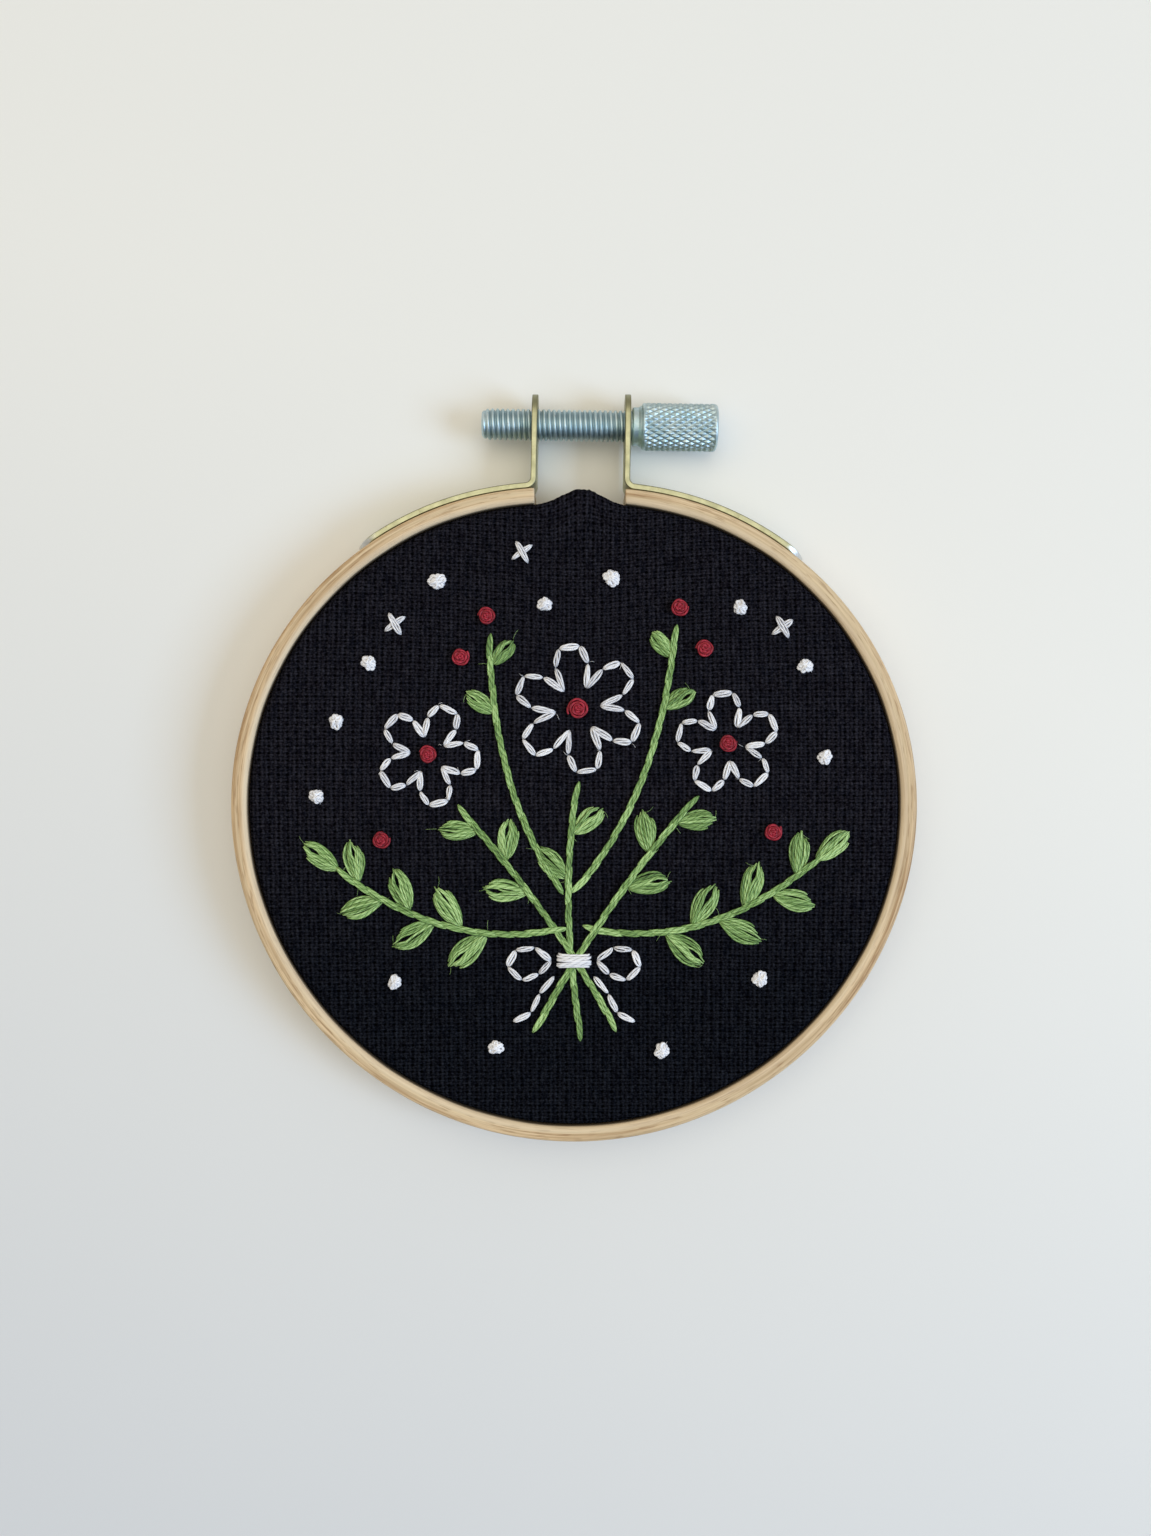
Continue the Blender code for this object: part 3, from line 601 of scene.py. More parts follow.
def straight_stitches(start, end, seed, ply=3, width=1.0, lift=0.42, back=False):
    """Each stitch is a few strands from hole to hole. A strand bows sideways by its share
    of half the width times a bell, and rises over the cloth by another bell.
    """
    rng = np.random.default_rng(seed)
    start, end = np.asarray(start, float), np.asarray(end, float)
    count, steps = len(start), 11
    along = unit(end - start)
    start, end = start + 0.10 * along, end - 0.10 * along
    share = np.linspace(0, 1, steps)
    sideways = np.stack([-along[:, 1], along[:, 0]], -1)
    wide = width * rng.uniform(0.85, 1.12, (count, 1, 1))
    radius = wide * (0.57 / (ply + 0.4))
    order = np.linspace(-1, 1, ply) + rng.uniform(-0.12, 0.12, (count, ply))
    bow = (wide / 2 - radius) * order[..., None] * bell(share, 0.45)
    bow = bow + 0.07 * rng.uniform(-1, 1, (count, ply, 1)) * np.sin(2 * np.pi * share)
    centre = start[:, None, None] + (end - start)[:, None, None] * share[:, None]
    flat = centre + bow[..., None] * sideways[:, None, None]
    height = (lift - 0.30 + 0.10 * (1 - order[..., None] ** 2)) * bell(share, 0.35)
    height = height + 0.30 * np.minimum(1, 6 * np.minimum(share, 1 - share))
    height = height + rng.uniform(-0.05, 0.05, (count, ply, 1))
    height = CLOTH_FRONT - CLOTH_THICK - height if back else CLOTH_FRONT + height
    thick = radius * (0.55 + 0.45 * bell(share, 0.5))
    path = np.concatenate([flat, height[..., None]], -1).reshape(-1, steps, 3)
    tone = np.repeat(rng.uniform(-0.6, 0.6, count), ply) + rng.uniform(-0.4, 0.4, count * ply)
    thick = np.broadcast_to(thick, (count, ply, steps)).reshape(-1, steps)
    return strands(path, thick, tone, sides=8)


def stitched_line(corners, closed, seed):
    """Back stitch from corner to corner."""
    corners = np.asarray(corners, float)
    after = np.roll(corners, -1, axis=0)
    if not closed:
        corners, after = corners[:-1], after[:-1]
    return straight_stitches(corners, after, seed)


def stem_point(stem, share):
    """Point and heading at a share of the way along a stem's single bend."""
    foot, bend, head = (np.array(point) for point in STEMS[stem])
    share = np.asarray(share, float)[..., None]
    point = (1 - share) ** 2 * foot + 2 * share * (1 - share) * bend + share ** 2 * head
    heading = (1 - share) * (bend - foot) + share * (head - bend)
    return point, np.arctan2(heading[..., 1], heading[..., 0])


def stem_strands(stem, level, seed):
    """Stem stitch: stitches of 4.4 mm laid 2.6 mm on from one another, each crossing the
    stem's line from its left to its right, with two strands that bow apart.
    """
    rng = np.random.default_rng(seed)
    shares = np.linspace(0, 1, 200)
    line, _ = stem_point(stem, shares)
    walked = np.concatenate([[0], np.cumsum(np.linalg.norm(np.diff(line, axis=0), axis=1))])
    total, reach = walked[-1], 4.4
    count = max(2, int(round((total - reach) / 2.5)) + 1)
    first = np.linspace(0, total - reach, count) + rng.uniform(-0.15, 0.15, count)
    share = np.linspace(0, 1, 8)
    ply = np.array((-1.0, 0.0, 1.0))
    order = ply + rng.uniform(-0.15, 0.15, (count, 3))
    spot = np.clip(first[:, None] + reach * share, 0, total)
    at = np.interp(spot, walked, shares)
    point, heading = stem_point(stem, at)
    sideways = np.stack([-np.sin(heading), np.cos(heading)], -1)
    shift = 0.22 * (1 - 2 * share) + 0.31 * order[..., None] * bell(share, 0.5)
    flat = point[:, None] + shift[..., None] * sideways[:, None]
    height = CLOTH_FRONT + level + 0.10 + 0.30 * bell(share, 0.6) + 0.0 * shift
    height = height + rng.uniform(-0.04, 0.04, (count, 3, 1))
    path = np.concatenate([flat, height[..., None]], -1).reshape(-1, 8, 3)
    radius = np.broadcast_to(0.215 * (0.6 + 0.4 * bell(share, 0.5)), (len(path), 8))
    tone = np.repeat(rng.uniform(-0.5, 0.5, count), 3) + rng.uniform(-0.5, 0.5, count * 3)
    return strands(path, radius, tone)


def leaf_places():
    """Base, heading, length and width of every leaf, each stem's by turns left and right."""
    places = []
    for stem, first, last, count, side, length, width in LEAVES:
        index = np.arange(count)
        base, heading = stem_point(stem, first + (last - first) * index / (count - 1))
        turn = heading + side * (-1.0) ** index * LEAF_ANGLE
        smaller = 1 - 0.15 * index / count
        places.append(np.stack([*base.T, turn, length * smaller, width * smaller], -1))
    for stem, length, width in TIP_LEAVES:
        base, heading = stem_point(stem, 0.98)
        places.append(np.array([[base[0], base[1], float(heading), length, width]]))
    return np.concatenate(places)


def loose_fibres(spots, seed, reach=1.5):
    """Hairs that stand off the stitches: each leaves its spot at a chance angle, turns by
    up to a radian on its way, and rises and falls by half a wave.
    """
    rng = np.random.default_rng(seed)
    spots = np.asarray(spots, float)
    count, steps = len(spots), 8
    share = np.linspace(0, 1, steps)
    heading = rng.uniform(0, 2 * np.pi, (count, 1)) + rng.uniform(-1.2, 1.2, (count, 1)) * share
    stride = reach * rng.uniform(0.5, 1.2, (count, 1)) / (steps - 1)
    x = spots[:, :1] + rng.uniform(-0.2, 0.2, (count, 1)) + np.cumsum(stride * np.cos(heading), 1)
    y = spots[:, 1:2] + rng.uniform(-0.2, 0.2, (count, 1)) + np.cumsum(stride * np.sin(heading), 1)
    z = CLOTH_FRONT + 0.12 + rng.uniform(0.1, 0.6, (count, 1)) * np.sin(np.pi * share)
    return strands(np.stack([x, y, z], -1), np.full((count, steps), 0.032),
                   rng.uniform(0.2, 1.0, count), press=1.0, sides=4)


def leaf_strands(places, seed, back=False):
    """Satin stitch: a strand at a share q of the leaf's half width runs from base to tip
    at q times the outline, (width / 2) sin(pi s) to the 0.8 at a share s of the length,
    ends a little short by chance and more on one side, wavers by a slow sine, and parts
    from its neighbour in a slit near the tip, a little off the leaf's middle.
    """
    rng = np.random.default_rng(seed)
    count, ply, steps = len(places), 11, 10
    base_x, base_y, turn, length, width = (places[:, k, None, None] for k in range(5))
    order = np.linspace(-1, 1, ply) + rng.uniform(-0.05, 0.05, (count, ply))
    slant = rng.choice([-1.0, 1.0], (count, 1)) * rng.uniform(0.02, 0.09, (count, 1))
    first = 0.02 + 0.09 * np.abs(order) * rng.uniform(0.2, 1.0, (count, ply))
    last = 0.97 - 0.13 * np.abs(order) ** 1.5 + slant * order - rng.uniform(0, 0.10, (count, ply))
    run = np.linspace(0, 1, steps)
    share = first[..., None] + (last - first)[..., None] * run
    outline = width / 2 * np.sin(np.pi * np.clip(share ** 1.12, 0.02, 0.97)) ** 0.8
    aside = order[..., None] - rng.uniform(-0.3, 0.3, (count, 1, 1))
    slit = 0.34 * np.exp(-((share - 0.68) / 0.12) ** 2) * rng.choice(
        [0.15, 0.5, 1.0, 1.0], (count, 1, 1)) * np.exp(-(aside / 0.7) ** 2)
    waver = 0.06 * np.sin(2 * np.pi * (run * rng.uniform(0.6, 1.4, (count, ply, 1))
                                       + rng.uniform(0, 1, (count, ply, 1))))
    x = length * share
    y = 0.88 * order[..., None] * outline + np.sign(aside) * slit + waver
    flat_x = base_x + x * np.cos(turn) - y * np.sin(turn)
    flat_y = base_y + x * np.sin(turn) + y * np.cos(turn)
    height = (0.02 + (0.20 + 0.32 * (1 - order[..., None] ** 2)) * bell(share, 0.5)
              + rng.uniform(-0.09, 0.09, (count, ply, 1)))
    height = CLOTH_FRONT - CLOTH_THICK - height if back else CLOTH_FRONT + height
    path = np.stack([flat_x, flat_y, height], -1).reshape(-1, steps, 3)
    thick = rng.uniform(0.17, 0.23, (count * ply, 1))
    radius = thick * (0.55 + 0.45 * bell(run, 0.4))
    tone = np.repeat(rng.uniform(-0.35, 0.35, count), ply) + rng.uniform(-0.8, 0.8, count * ply)
    return strands(path, radius, tone)


def wound_knots(spots, seed):
    """Knots: one thread on a closed path that goes round the middle three times while it
    goes out and in eleven times, high where it is in, so that small lobes stand round the
    rim and crowd the top; two slow sines make each knot uneven.
    """
    rng = np.random.default_rng(seed)
    steps = 132
    run = np.arange(steps) * 2 * np.pi / steps
    spots = np.asarray(spots, float)
    chance = rng.uniform(0, 2 * np.pi, (4, len(spots), 1))
    size = rng.uniform(1.08, 1.30, (len(spots), 1))
    out = size * (0.46 + 0.36 * np.cos(11 * run) + 0.08 * np.sin(2 * run + chance[0])
                  + 0.09 * np.sin(5 * run + chance[1]))
    around = 3 * run + chance[2] + 0.12 * np.sin(4 * run + chance[3])
    x = spots[:, :1] + out * np.cos(around) * rng.uniform(0.90, 1.10, (len(spots), 1))
    y = spots[:, 1:] + out * np.sin(around)
    z = CLOTH_FRONT + 0.42 - 0.24 * np.cos(11 * run) + 0.10 * np.sin(7 * run + chance[1])
    path = np.stack([x, y, z], -1)
    radius = 0.225 * size * (1 + 0.10 * np.sin(6 * run + chance[0]))
    return strands(path, radius, rng.uniform(-0.1, 0.5, len(spots)), press=1.0, sides=7, loop=True)


def woven_wheels(spots, radii, seed):
    """Berries: a thread spirals out from the middle, four turns, over a low dome, rising
    and falling three and a half times a turn, as it does over and under seven spokes.
    """
    rng = np.random.default_rng(seed)
    spots, radii = np.asarray(spots, float), np.asarray(radii, float)[:, None]
    share = np.linspace(0, 1, 150)
    turn = 2 * np.pi * 4.2 * share ** 0.8 + rng.uniform(0, 2 * np.pi, (len(spots), 1))
    out = 0.06 + (radii - 0.26) * share
    weave = 0.11 * np.cos(3.5 * turn)
    x = spots[:, :1] + (out + 0.4 * weave) * np.cos(turn)
    y = spots[:, 1:] + (out + 0.4 * weave) * np.sin(turn)
    z = CLOTH_FRONT + 0.18 + 0.85 * np.sqrt(np.clip(1 - (out / radii) ** 2, 0, 1)) + weave
    path = np.stack([x, y, z], -1)
    radius = np.broadcast_to(0.24 * (0.75 + 0.25 * bell(share, 0.3)), path.shape[:2])
    return strands(path, radius, rng.uniform(-0.3, 0.3, len(spots)))


def bloom_corners(centre, reach, petals, turn):
    """Holes of a flower's outline: the petal's shares of angle and reach, petal by petal."""
    share, out = np.array(PETAL).T
    angle = np.radians(turn) + 2 * np.pi * (np.arange(petals)[:, None] + share) / petals
    holes = reach * out[:, None] * np.stack([np.cos(angle), np.sin(angle)], -1)
    return (np.array(centre) + holes).reshape(-1, 2)


def bow_band():
    """Seven strands side by side that arch over the crossed stems."""
    rng = np.random.default_rng(41)
    share = np.linspace(0, 1, 13)
    order = np.linspace(-1, 1, 7)[:, None] + rng.uniform(-0.06, 0.06, (7, 1))
    reach = 2.85 - 0.35 * order ** 2 - rng.uniform(0, 0.35, (7, 1))
    x = BOW_KNOT[0] + reach * np.sin(np.pi * (share - 0.5))
    y = BOW_KNOT[1] + 1.05 * order * (0.80 + 0.20 * (2 * share - 1) ** 2)
    y = y + 0.14 * rng.uniform(-1, 1, (7, 1)) * (2 * share - 1)
    z = CLOTH_FRONT + 0.05 + 1.10 * bell(share, 0.55) * (1 - 0.35 * order ** 2)
    path = np.stack([x, y, z], -1)
    radius = np.broadcast_to(0.215 * (0.6 + 0.4 * bell(share, 0.4)), path.shape[:2])
    return strands(path, radius, rng.uniform(-0.5, 0.5, 7), sides=8)


def back_stitches(corners, seed, skip=1, step=2, ply=3, width=0.9):
    """Reverse side of a line of stitches: threads from each hole to one further on."""
    corners = np.asarray(corners, float)
    first = np.arange(0, len(corners) - step, skip)
    return straight_stitches(corners[first], corners[first + step], seed, ply=ply, width=width,
                             lift=0.5, back=True)


def numbered(name, spots):
    return ["%s_%d" % (name, index + 1) for index in range(len(spots))]


def build_stitching():
    """Each motif's threads on the face, and what shows of them on the cloth's back."""
    stems = []
    for index, stem in enumerate(STEMS):
        line, _ = stem_point(stem, np.linspace(0.02, 0.98, 15))
        stems += [stem_strands(stem, 0.10 * (index % 3), 11 + index),
                  back_stitches(line, 30 + index, step=1)]
    leaves = leaf_places()
    heading = np.stack([np.cos(leaves[:, 2]), np.sin(leaves[:, 2])], -1)
    tips = leaves[:, :2] + 0.9 * leaves[:, 3:4] * heading
    stems += [leaf_strands(leaves, 5), leaf_strands(leaves, 6, back=True),
              loose_fibres(np.concatenate([leaves[:, :2], tips]), 7)]
    lay_mesh("stems_and_leaves", stems, "green_thread", ("greenery",))
    for index, (name, centre, reach, petals, turn, eye) in enumerate(BLOOMS):
        corners = bloom_corners(centre, reach, petals, turn)
        outline = [stitched_line(corners, True, 60 + index), back_stitches(corners, 63 + index),
                   loose_fibres(corners[::3], 66 + index, 0.9)]
        lay_mesh("petals_" + name, outline, "white_thread", ("bloom_" + name,))
        wheel = woven_wheels([centre], [eye], 70 + index)
        lay_mesh("eye_" + name, [wheel], "red_thread", ("bloom_eye_" + name,))
    for name, side in (("left", -1), ("right", 1)):
        loop, tail = np.array(BOW_LOOP) * (side, 1), np.array(BOW_TAIL) * (side, 1)
        ribbon = [stitched_line(loop, True, 80 + side), stitched_line(tail, False, 84 + side),
                  back_stitches(loop, 81 + side), back_stitches(tail, 85 + side)]
        lay_mesh("bow_" + name, ribbon, "white_thread",
                 ("bow_loop_" + name, "bow_tail_" + name))
    lay_mesh("bow_middle", [bow_band()], "white_thread", ("bow_band",))
    carried = np.array(KNOTS)[[8, *range(8)]]
    knots = [wound_knots(KNOTS, 90), back_stitches(carried, 92, step=1, ply=2, width=0.7),
             loose_fibres(KNOTS, 93, 1.2)]
    lay_mesh("white_knots", knots, "white_thread", numbered("knot", KNOTS))
    berries = [woven_wheels(BERRIES, [BERRY_RADIUS] * len(BERRIES), 91),
               back_stitches(BERRIES, 94, skip=2, step=1)]
    lay_mesh("woven_berries", berries, "red_thread", numbered("berry", BERRIES))
    spots = np.array(CROSSES)
    arms = []
    for number, turn in enumerate(np.radians((35, 119))):
        reach = 2.0 * np.array((math.cos(turn), math.sin(turn)))
        arms.append(straight_stitches(spots - reach, spots + reach, 95 + number,
                                      lift=0.42 + 0.3 * number))
    lay_mesh("small_crosses", arms, "white_thread", numbered("cross", CROSSES))


# Materials


class Level:
    """A value, vector or colour in a node tree; arithmetic with it adds math nodes."""

    def __init__(self, tree, socket):
        self.tree, self.socket = tree, socket

    def math(self, operation, other=0.0):
        return combined("ShaderNodeMath", {0: self, 1: other}, operation=operation)

    def ranged(self, low, high, new_low=0.0, new_high=1.0):
        given = dict(enumerate((self, low, high, new_low, new_high)))
        return combined("ShaderNodeMapRange", given, clamp=True)

    def __add__(self, other):
        return self.math("ADD", other)

    def __sub__(self, other):
        return self.math("SUBTRACT", other)

    def __mul__(self, other):
        return self.math("MULTIPLY", other)

    def __truediv__(self, other):
        return self.math("DIVIDE", other)


def set_inputs(node, given):
    """Gives a node's inputs levels, which are linked, or constants."""
    for key, value in given.items():
        if isinstance(value, Level):
            node.id_data.links.new(value.socket, node.inputs[key])
        else:
            node.inputs[key].default_value = value


def add_node(tree, kind, given, output=0, **options):
    node = tree.nodes.new(kind)
    for option, value in options.items():
        setattr(node, option, value)
    set_inputs(node, given)
    return Level(tree, node.outputs[output])


def combined(kind, given, output=0, **options):
    """A node in the tree of the first level that it is given."""
    tree = next(value.tree for value in given.values() if isinstance(value, Level))
    return add_node(tree, kind, given, output, **options)


def mixed(share, first, second, blend="MIX"):
    return combined("ShaderNodeMix", {0: share, 6: first, 7: second}, 2,
                    data_type="RGBA", blend_type=blend)


def parts(vector):
    """The x, y and z of a vector."""
    return [combined("ShaderNodeSeparateXYZ", {0: vector}, index) for index in range(3)]


def noise(vector, scale=(1, 1, 1), move=(0, 0, 0), detail=2.0, roughness=0.5):
    """Noise of size 1 after the place is scaled and moved."""
    vector = combined("ShaderNodeMapping", {0: vector, 1: move, 3: scale})
    return combined("ShaderNodeTexNoise", {"Vector": vector, "Scale": 1.0, "Detail": detail,
                                           "Roughness": roughness})


def bumped(height, strength, distance):
    """Strength is a share and distance is in millimetres."""
    return combined("ShaderNodeBump", {"Height": height, "Strength": strength,
                                       "Distance": distance * 0.001})


def attribute(tree, name, output):
    return add_node(tree, "ShaderNodeAttribute", {}, output, attribute_name=name,
                    attribute_type="GEOMETRY")


def colour(red, green, blue):
    """A colour given as it looks in a picture file, 0 to 255, turned into light amounts."""
    share = np.array((red, green, blue)) / 255
    light = np.where(share <= 0.04045, share / 12.92, ((share + 0.055) / 1.055) ** 2.4)
    return (*light.tolist(), 1.0)


def new_group(name, given, labels, build):
    """A node group: build(place) gives its outputs' levels, in the order of their labels."""
    group = bpy.data.node_groups.new(name, "ShaderNodeTree")
    group.interface.new_socket(given, in_out="INPUT", socket_type="NodeSocketVector")
    for label in labels:
        group.interface.new_socket(label, in_out="OUTPUT", socket_type="NodeSocketFloat")
    place = Level(group, group.nodes.new("NodeGroupInput").outputs[given])
    result = group.nodes.new("NodeGroupOutput")
    set_inputs(result, dict(zip(labels, build(place))))
    return group


def applied(group, place):
    """The outputs of a node group at a place, by their labels."""
    labels = [item.name for item in group.interface.items_tree if item.in_out == "OUTPUT"]
    node = combined("ShaderNodeGroup", {0: place}, node_tree=group).socket.node
    return {label: Level(place.tree, node.outputs[label]) for label in labels}


def new_material(name, finish, *given):
    """A material: finish(tree, ...) gives the inputs of its shader."""
    material = bpy.data.materials.new(name + "_finish")
    material.use_nodes = True
    tree = material.node_tree
    set_inputs(tree.nodes["Principled BSDF"], finish(tree, *given))
    return material


def even_weave(place):
    """Plain weave in pairs of threads. Ribs of warp and weft are humps one thread wide, a
    product of two sines, each one thread long, says which of them lies over the other, and
    every second gap both ways is an open line, so that two by two threads make a block.
    """
    bend = noise(place, (0.33, 0.33, 1), detail=3) - 0.5
    x, y, _ = parts(place)
    x = bend * 0.55 + x / WARP_PITCH
    y = bend * -0.75 + y / WEFT_PITCH
    over = (x * math.pi).math("SINE") * (y * math.pi).math("SINE")

    def hump(at):
        """One less the square of twice the distance from the thread's middle."""
        off = at.math("FRACT") - 0.5
        return off * off * -4.0 + 1.0

    def gap(at):
        """Rises from 0 to 1 at the open line beside every second thread."""
        return ((at * 0.5).math("FRACT") - 0.5).math("ABSOLUTE").ranged(0.25, 0.47)

    warp = hump(x) * (over * 0.42 + 0.58)
    weft = hump(y) * (over * -0.42 + 0.53)
    gap_x, gap_y = gap(x), gap(y)
    patchy = noise(place, (1.7, 2.2, 1), (11, 3, 0), 4, 0.75)
    holes = gap_x * gap_y * patchy.ranged(0.66, 0.40, 0.45, 1.0)
    blocks = holes * -0.85 + gap_x * -0.13 + gap_y * -0.11 + 1.0
    ribs = noise(place, (1.43, 0.30, 1), (0, 0, 0), 3, 0.6)
    slubs = noise(place, (0.22, 1.8, 1), (31, 7, 0), 3, 0.6)
    shade = ribs * 0.3 + slubs * 0.15 + patchy * 0.75
    tint = noise(place, (0.7, 0.45, 1), (5, 17, 0))
    return warp.math("MAXIMUM", weft) * blocks, blocks, shade, tint


def wood_grain(place):
    """Steam-bent beech: noise stretched along the ring makes fine lines and broad bands,
    and short dark flecks lie along them.
    """
    lines = noise(place, (0.05, 2.4, 1.4), detail=5, roughness=0.68)
    bands = noise(place, (0.018, 0.9, 0.35), (3, 5, 1))
    flecks = noise(place, (0.36, 4.4, 2.6), (13, 2, 4), 1, 0.4).ranged(0.58, 0.70)
    return lines, bands, flecks, lines - flecks * 0.4


def thread_fibres(place):
    """Fibres of a stranded thread: noise drawn out along the strand, wound slowly round
    it, by a texture that runs with the strand's length and once round it. The flank mask is
    high low on the strand's flanks and Ply is high in the groove that two twisted plies leave;
    both give painted shade there, and Ply also gives the bump.
    """
    along, around, _ = parts(place)
    turn = around * (2 * math.pi)
    flank_shade = turn.math("SINE").ranged(0.10, 0.85, 1.0, 0.0)
    twist = along * (2 * math.pi / PLY_TWIST) + turn * 2.0
    wound = along * 0.9 + turn
    vector = combined("ShaderNodeCombineXYZ", {
        0: along * 0.55, 1: wound.math("COSINE") * 1.5, 2: wound.math("SINE") * 1.5})
    fibre = noise(vector, (1.6, 1.6, 1.6), detail=3, roughness=0.7)
    soft = noise(vector, (0.6, 0.3, 0.3))
    return fibre, soft, flank_shade, twist.math("COSINE").ranged(-0.35, -1.0)


def zinc_plating(place):
    """Plated steel: cloudy blotches, fine scratches along the part and small rust specks."""
    cloud = noise(place, (0.55, 0.55, 0.55), detail=4, roughness=0.6)
    scratches = noise(place, (0.5, 6.0, 6.0), detail=3, roughness=0.6)
    specks = noise(place, (1.7, 1.7, 1.7), detail=3, roughness=0.55)
    return cloud, scratches, specks.ranged(0.66, 0.74)


def cloth_finish(tree, weave):
    """Black cotton, with painted shade in the weave's low places, open lines and holes, and
    painted shade that makes it a little bluer and darker towards the lower edge of the picture.
    """
    texture = add_node(tree, "ShaderNodeUVMap", {}, uv_map="surface")
    place = combined("ShaderNodeMapping", {0: texture, 3: (WEAVE_SPAN, WEAVE_SPAN, 1)})
    woven = applied(weave, place)
    tinted = mixed(woven["Tint"].ranged(0.40, 0.62), colour(15, 13, 19), colour(13, 14, 22))
    shade = mixed(woven["Shade"].ranged(0.52, 0.90), tinted, colour(62, 61, 70))
    # Painted shade in the weave's low places.
    shade = mixed(woven["Height"].ranged(0.08, 0.62), colour(3, 3, 5), shade)
    # Painted shade in the weave's open lines and holes.
    shade = mixed(woven["Blocks"].ranged(0.1, 0.85, 0.90, 0.0), shade, colour(2, 2, 3))
    # Painted shade: bluer and darker towards the lower edge of the picture.
    lower_shade = parts(place)[1].ranged(WEAVE_SPAN * 0.26, WEAVE_SPAN * 0.50, 1.0, 0.0)
    return {"Base Color": mixed(lower_shade, shade, (0.62, 0.72, 0.74, 1.0), "MULTIPLY"),
            "Roughness": 0.9, "Specular IOR Level": 0.0,
            "Normal": bumped(woven["Height"], 1.0, 0.22)}


def beech_finish(tree, grain):
    """Bare beech, paler on its inner half, with painted shade in the seam against the cloth."""
    place = attribute(tree, "place", "Vector")
    wood = applied(grain, place)
    inward = parts(place)[1]
    base = mixed(wood["Lines"].ranged(0.36, 0.62), colour(157, 122, 81), colour(220, 192, 152))
    base = mixed(wood["Bands"].ranged(0.40, 0.60, 0.0, 0.55), base, colour(220, 201, 165))
    base = mixed(wood["Flecks"] * 0.45, base, colour(138, 100, 64))
    base = mixed(inward.ranged(-1.30, -1.75, 0.0, 0.50), base, colour(231, 213, 183))
    # Painted shade: the innermost edge darkens into the seam against the cloth.
    return {"Base Color": mixed(inward.ranged(-2.30, -2.44, 0.0, 0.85), base,
                                colour(60, 44, 28)),
            "Roughness": wood["Lines"].ranged(0.3, 0.7, 0.62, 0.48),
            "Specular IOR Level": 0.4, "Normal": bumped(wood["Height"], 0.5, 0.08)}


def thread_finish(tree, fibres, dark, middle, light):
    """Stranded cotton; the tone attribute makes a strand lighter or darker, and painted shade
    darkens each strand's flanks and the groove between its plies.
    """
    spun = applied(fibres, add_node(tree, "ShaderNodeUVMap", {}, uv_map="surface"))
    amount = attribute(tree, "tone", "Fac") * 0.50 + spun["Fibre"].ranged(0.30, 0.70, -0.50, 0.50)
    amount = amount + spun["Soft"].ranged(0.35, 0.65, -0.2, 0.2) + 0.25
    # Painted shade on the strand's flanks and in the groove between its plies.
    amount = amount - spun["Flank shade"] + spun["Ply"] * -0.55
    shade = mixed(amount.ranged(-1.1, 0.0), colour(*dark), colour(*middle))
    return {"Base Color": mixed(amount.ranged(0.0, 0.8), shade, colour(*light)),
            "Roughness": spun["Fibre"].ranged(0.3, 0.7, 0.62, 0.48),
            "Specular IOR Level": 0.45,
            "Normal": bumped(spun["Ply"] * -0.8 + spun["Fibre"], 0.8, 0.07)}


def zinc_finish(tree, plating, dull, bright, speck, worn, painted_dark, roughness, scratched):
    """Plated steel; the tone attribute says where the plating is worn to the bare metal, and,
    below 0, how strongly a painted dark colour covers the point: painted shade in the screw's
    grooves and painted dark reflection along the strap's edges and towards the tabs' tops.
    """
    plated = applied(plating, attribute(tree, "place", "Vector"))
    base = mixed(plated["Cloud"].ranged(0.35, 0.65), colour(*dull), colour(*bright))
    base = mixed(plated["Specks"] * 0.8, base, colour(*speck))
    tone = attribute(tree, "tone", "Fac")
    bare = tone + plated["Cloud"].ranged(0.3, 0.7, -0.25, 0.25)
    base = mixed(bare.ranged(0.35, 0.60), base, colour(*worn))
    # Painted shade and painted dark reflection where the tone is below 0.
    return {"Base Color": mixed(tone.ranged(-0.15, -1.0, 0.0, 0.9), base, colour(*painted_dark)),
            "Metallic": 1.0, "Roughness": plated["Scratches"].ranged(0.3, 0.7, *roughness),
            "Normal": bumped(plated["Scratches"], scratched, 0.02)}


def floor_finish(tree):
    """Painted white board; painted shade makes it a little greyer towards its near left corner."""
    place = add_node(tree, "ShaderNodeTexCoord", {}, "Object")
    x, y, _ = parts(place)
    # Painted shade: the colour greys towards the near left corner.
    corner = x * 0.5 + noise(place, (6.0, 6.0, 6.0), detail=3) * 0.05 + y
    return {"Base Color": mixed(corner.ranged(-0.15, 0.07), colour(210, 213, 217),
                                colour(235, 234, 229)),
            "Roughness": 0.55, "Specular IOR Level": 0.3}


# Camera, light and floor

def build_camera():
    """Looks straight down at the middle of the photograph's frame."""
    data = bpy.data.cameras.new("camera")
    data.sensor_width = 36.0
    data.lens = 30.56
    data.clip_start = 0.01
    data.clip_end = 10.0
    camera = bpy.data.objects.new("camera", data)
    camera.location = (0.00023, -0.0005, 0.209)
    bpy.context.scene.collection.objects.link(camera)
    bpy.context.scene.camera = camera


def build_light(name, place, size, power, tint):
    """A square lamp that faces the origin."""
    data = bpy.data.lights.new(name, "AREA")
    data.shape = "RECTANGLE"
    data.size = data.size_y = size
    data.energy = power
    data.color = tint
    light = bpy.data.objects.new(name, data)
    light.location = place
    light.rotation_euler = (-Vector(place)).to_track_quat("-Z", "Y").to_euler()
    bpy.context.scene.collection.objects.link(light)


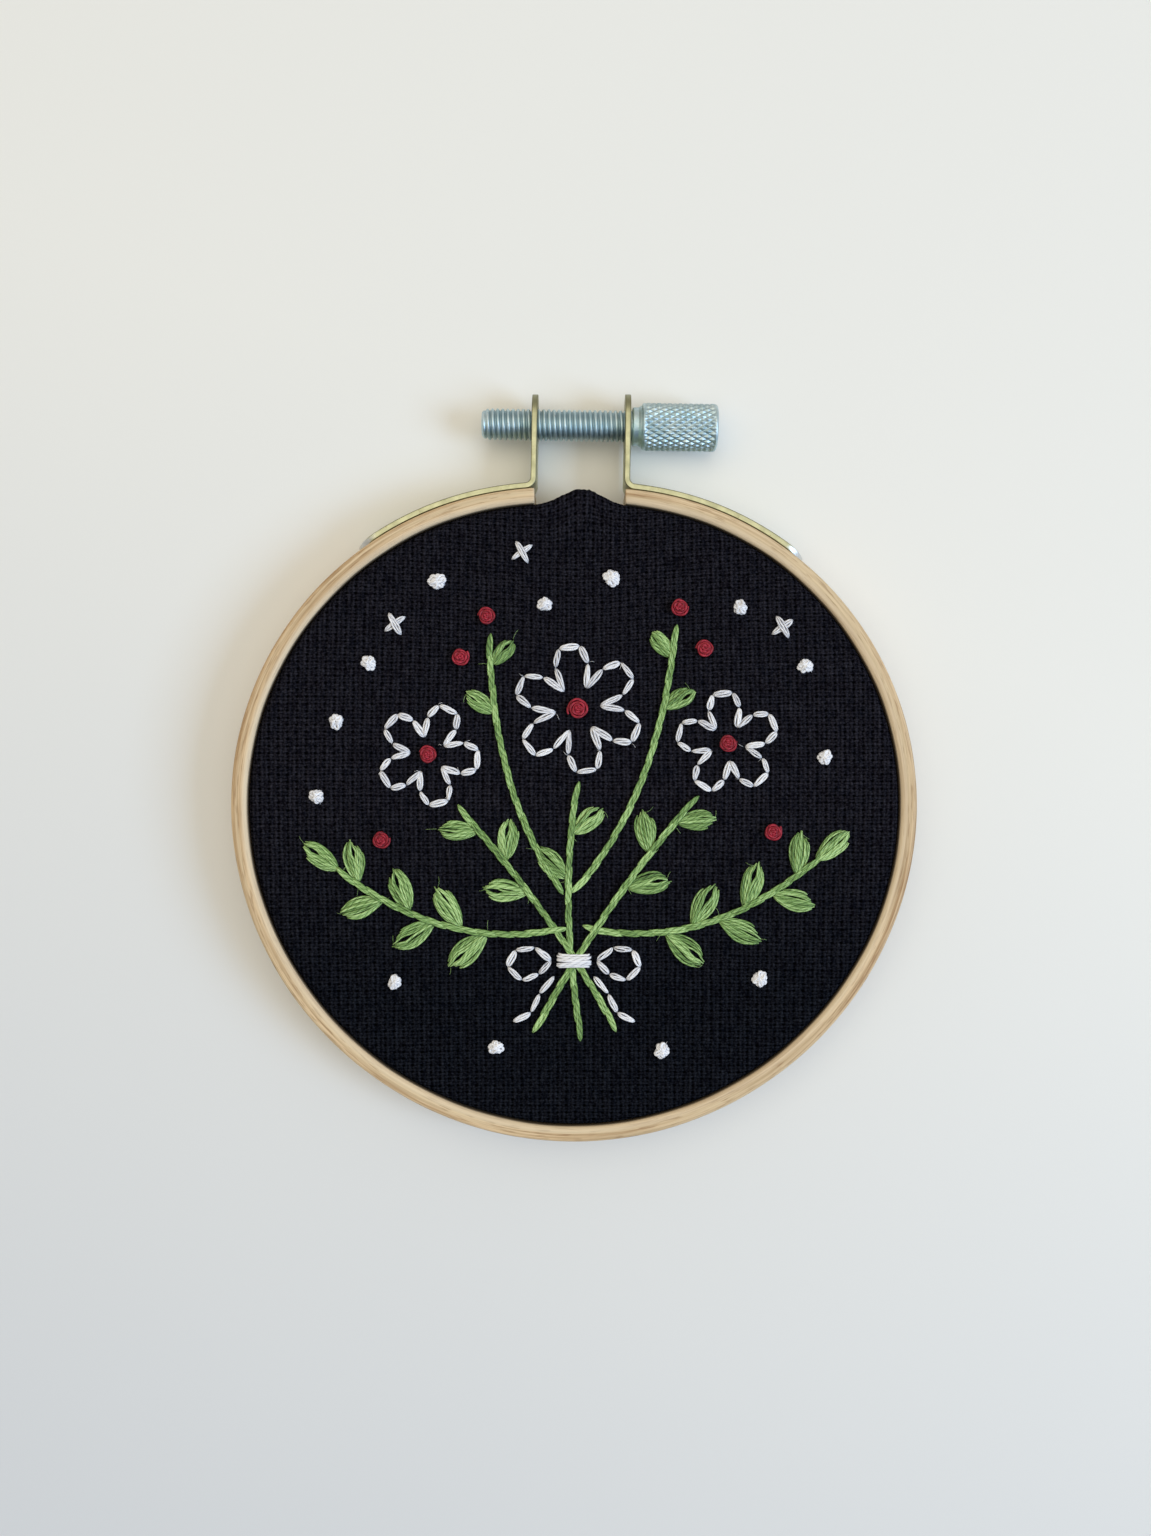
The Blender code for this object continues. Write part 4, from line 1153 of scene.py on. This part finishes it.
def build_stage():
    """Floor, two lamps and a warm room with a darker, bluer patch on its near side."""
    half, level = 1.5, -0.0001
    mesh = bpy.data.meshes.new("floor")
    mesh.from_pydata([(-half, -half, level), (half, -half, level), (half, half, level),
                      (-half, half, level)], [], [(0, 1, 2, 3)])
    mesh.materials.append(new_material("pale_floor", floor_finish))
    floor = bpy.data.objects.new("floor", mesh)
    bpy.context.scene.collection.objects.link(floor)
    build_light("window", (1.06, -0.28, 0.84), 0.60, 11.0, (0.50, 0.70, 1.0))
    build_light("ceiling", (-0.10, 0.12, 1.05), 1.3, 5.4, (1.0, 0.92, 0.72))
    world = bpy.data.worlds.new("room_light")
    world.use_nodes = True
    tree = world.node_tree
    _, toward, up = parts(add_node(tree, "ShaderNodeTexCoord", {}, "Generated"))
    low = up.ranged(0.20, 0.34) * up.ranged(0.92, 0.78) * toward.ranged(-0.25, -0.60)
    set_inputs(tree.nodes["Background"], {
        "Color": mixed(low, (1.0, 0.945, 0.86, 1.0), (0.12, 0.19, 0.30, 1.0)), "Strength": 0.57})
    bpy.context.scene.world = world
    bpy.context.scene.view_settings.view_transform = "Standard"


build_camera()
WEAVE = new_group("even_weave", "Cloth place", ("Height", "Blocks", "Shade", "Tint"), even_weave)
GRAIN = new_group("wood_grain", "Grain place", ("Lines", "Bands", "Flecks", "Height"), wood_grain)
FIBRES = new_group("thread_fibres", "Along and round", ("Fibre", "Soft", "Flank shade", "Ply"),
                   thread_fibres)
PLATING = new_group("zinc_plating", "Metal place", ("Cloud", "Scratches", "Specks"), zinc_plating)
MATERIALS = {name: new_material(name, *given) for name, *given in (
    ("black_cloth", cloth_finish, WEAVE),
    ("beech", beech_finish, GRAIN),
    # dark, middle and light
    ("white_thread", thread_finish, FIBRES, (138, 138, 148), (234, 234, 238), (253, 253, 255)),
    ("green_thread", thread_finish, FIBRES, (30, 54, 16), (116, 154, 80), (190, 222, 150)),
    ("red_thread", thread_finish, FIBRES, (52, 2, 10), (142, 12, 34), (190, 46, 68)),
    # dull, bright, speck, worn and painted shade colour; roughness from and to; how scratched
    ("yellow_zinc", zinc_finish, PLATING, (170, 171, 140), (196, 197, 164), (128, 98, 54),
     (214, 215, 212), (104, 98, 66), (0.34, 0.5), 0.35),
    ("blue_zinc", zinc_finish, PLATING, (172, 198, 206), (204, 220, 224), (150, 160, 160),
     (190, 190, 190), (152, 173, 181), (0.42, 0.52), 0.0),
)}
build_inner_ring()
build_outer_ring()
build_cloth()
for strap in STRAPS:
    build_strap(*strap)
    build_pin(strap[0], strap[1], strap[3])
build_thumb_screw()
build_stitching()
build_stage()
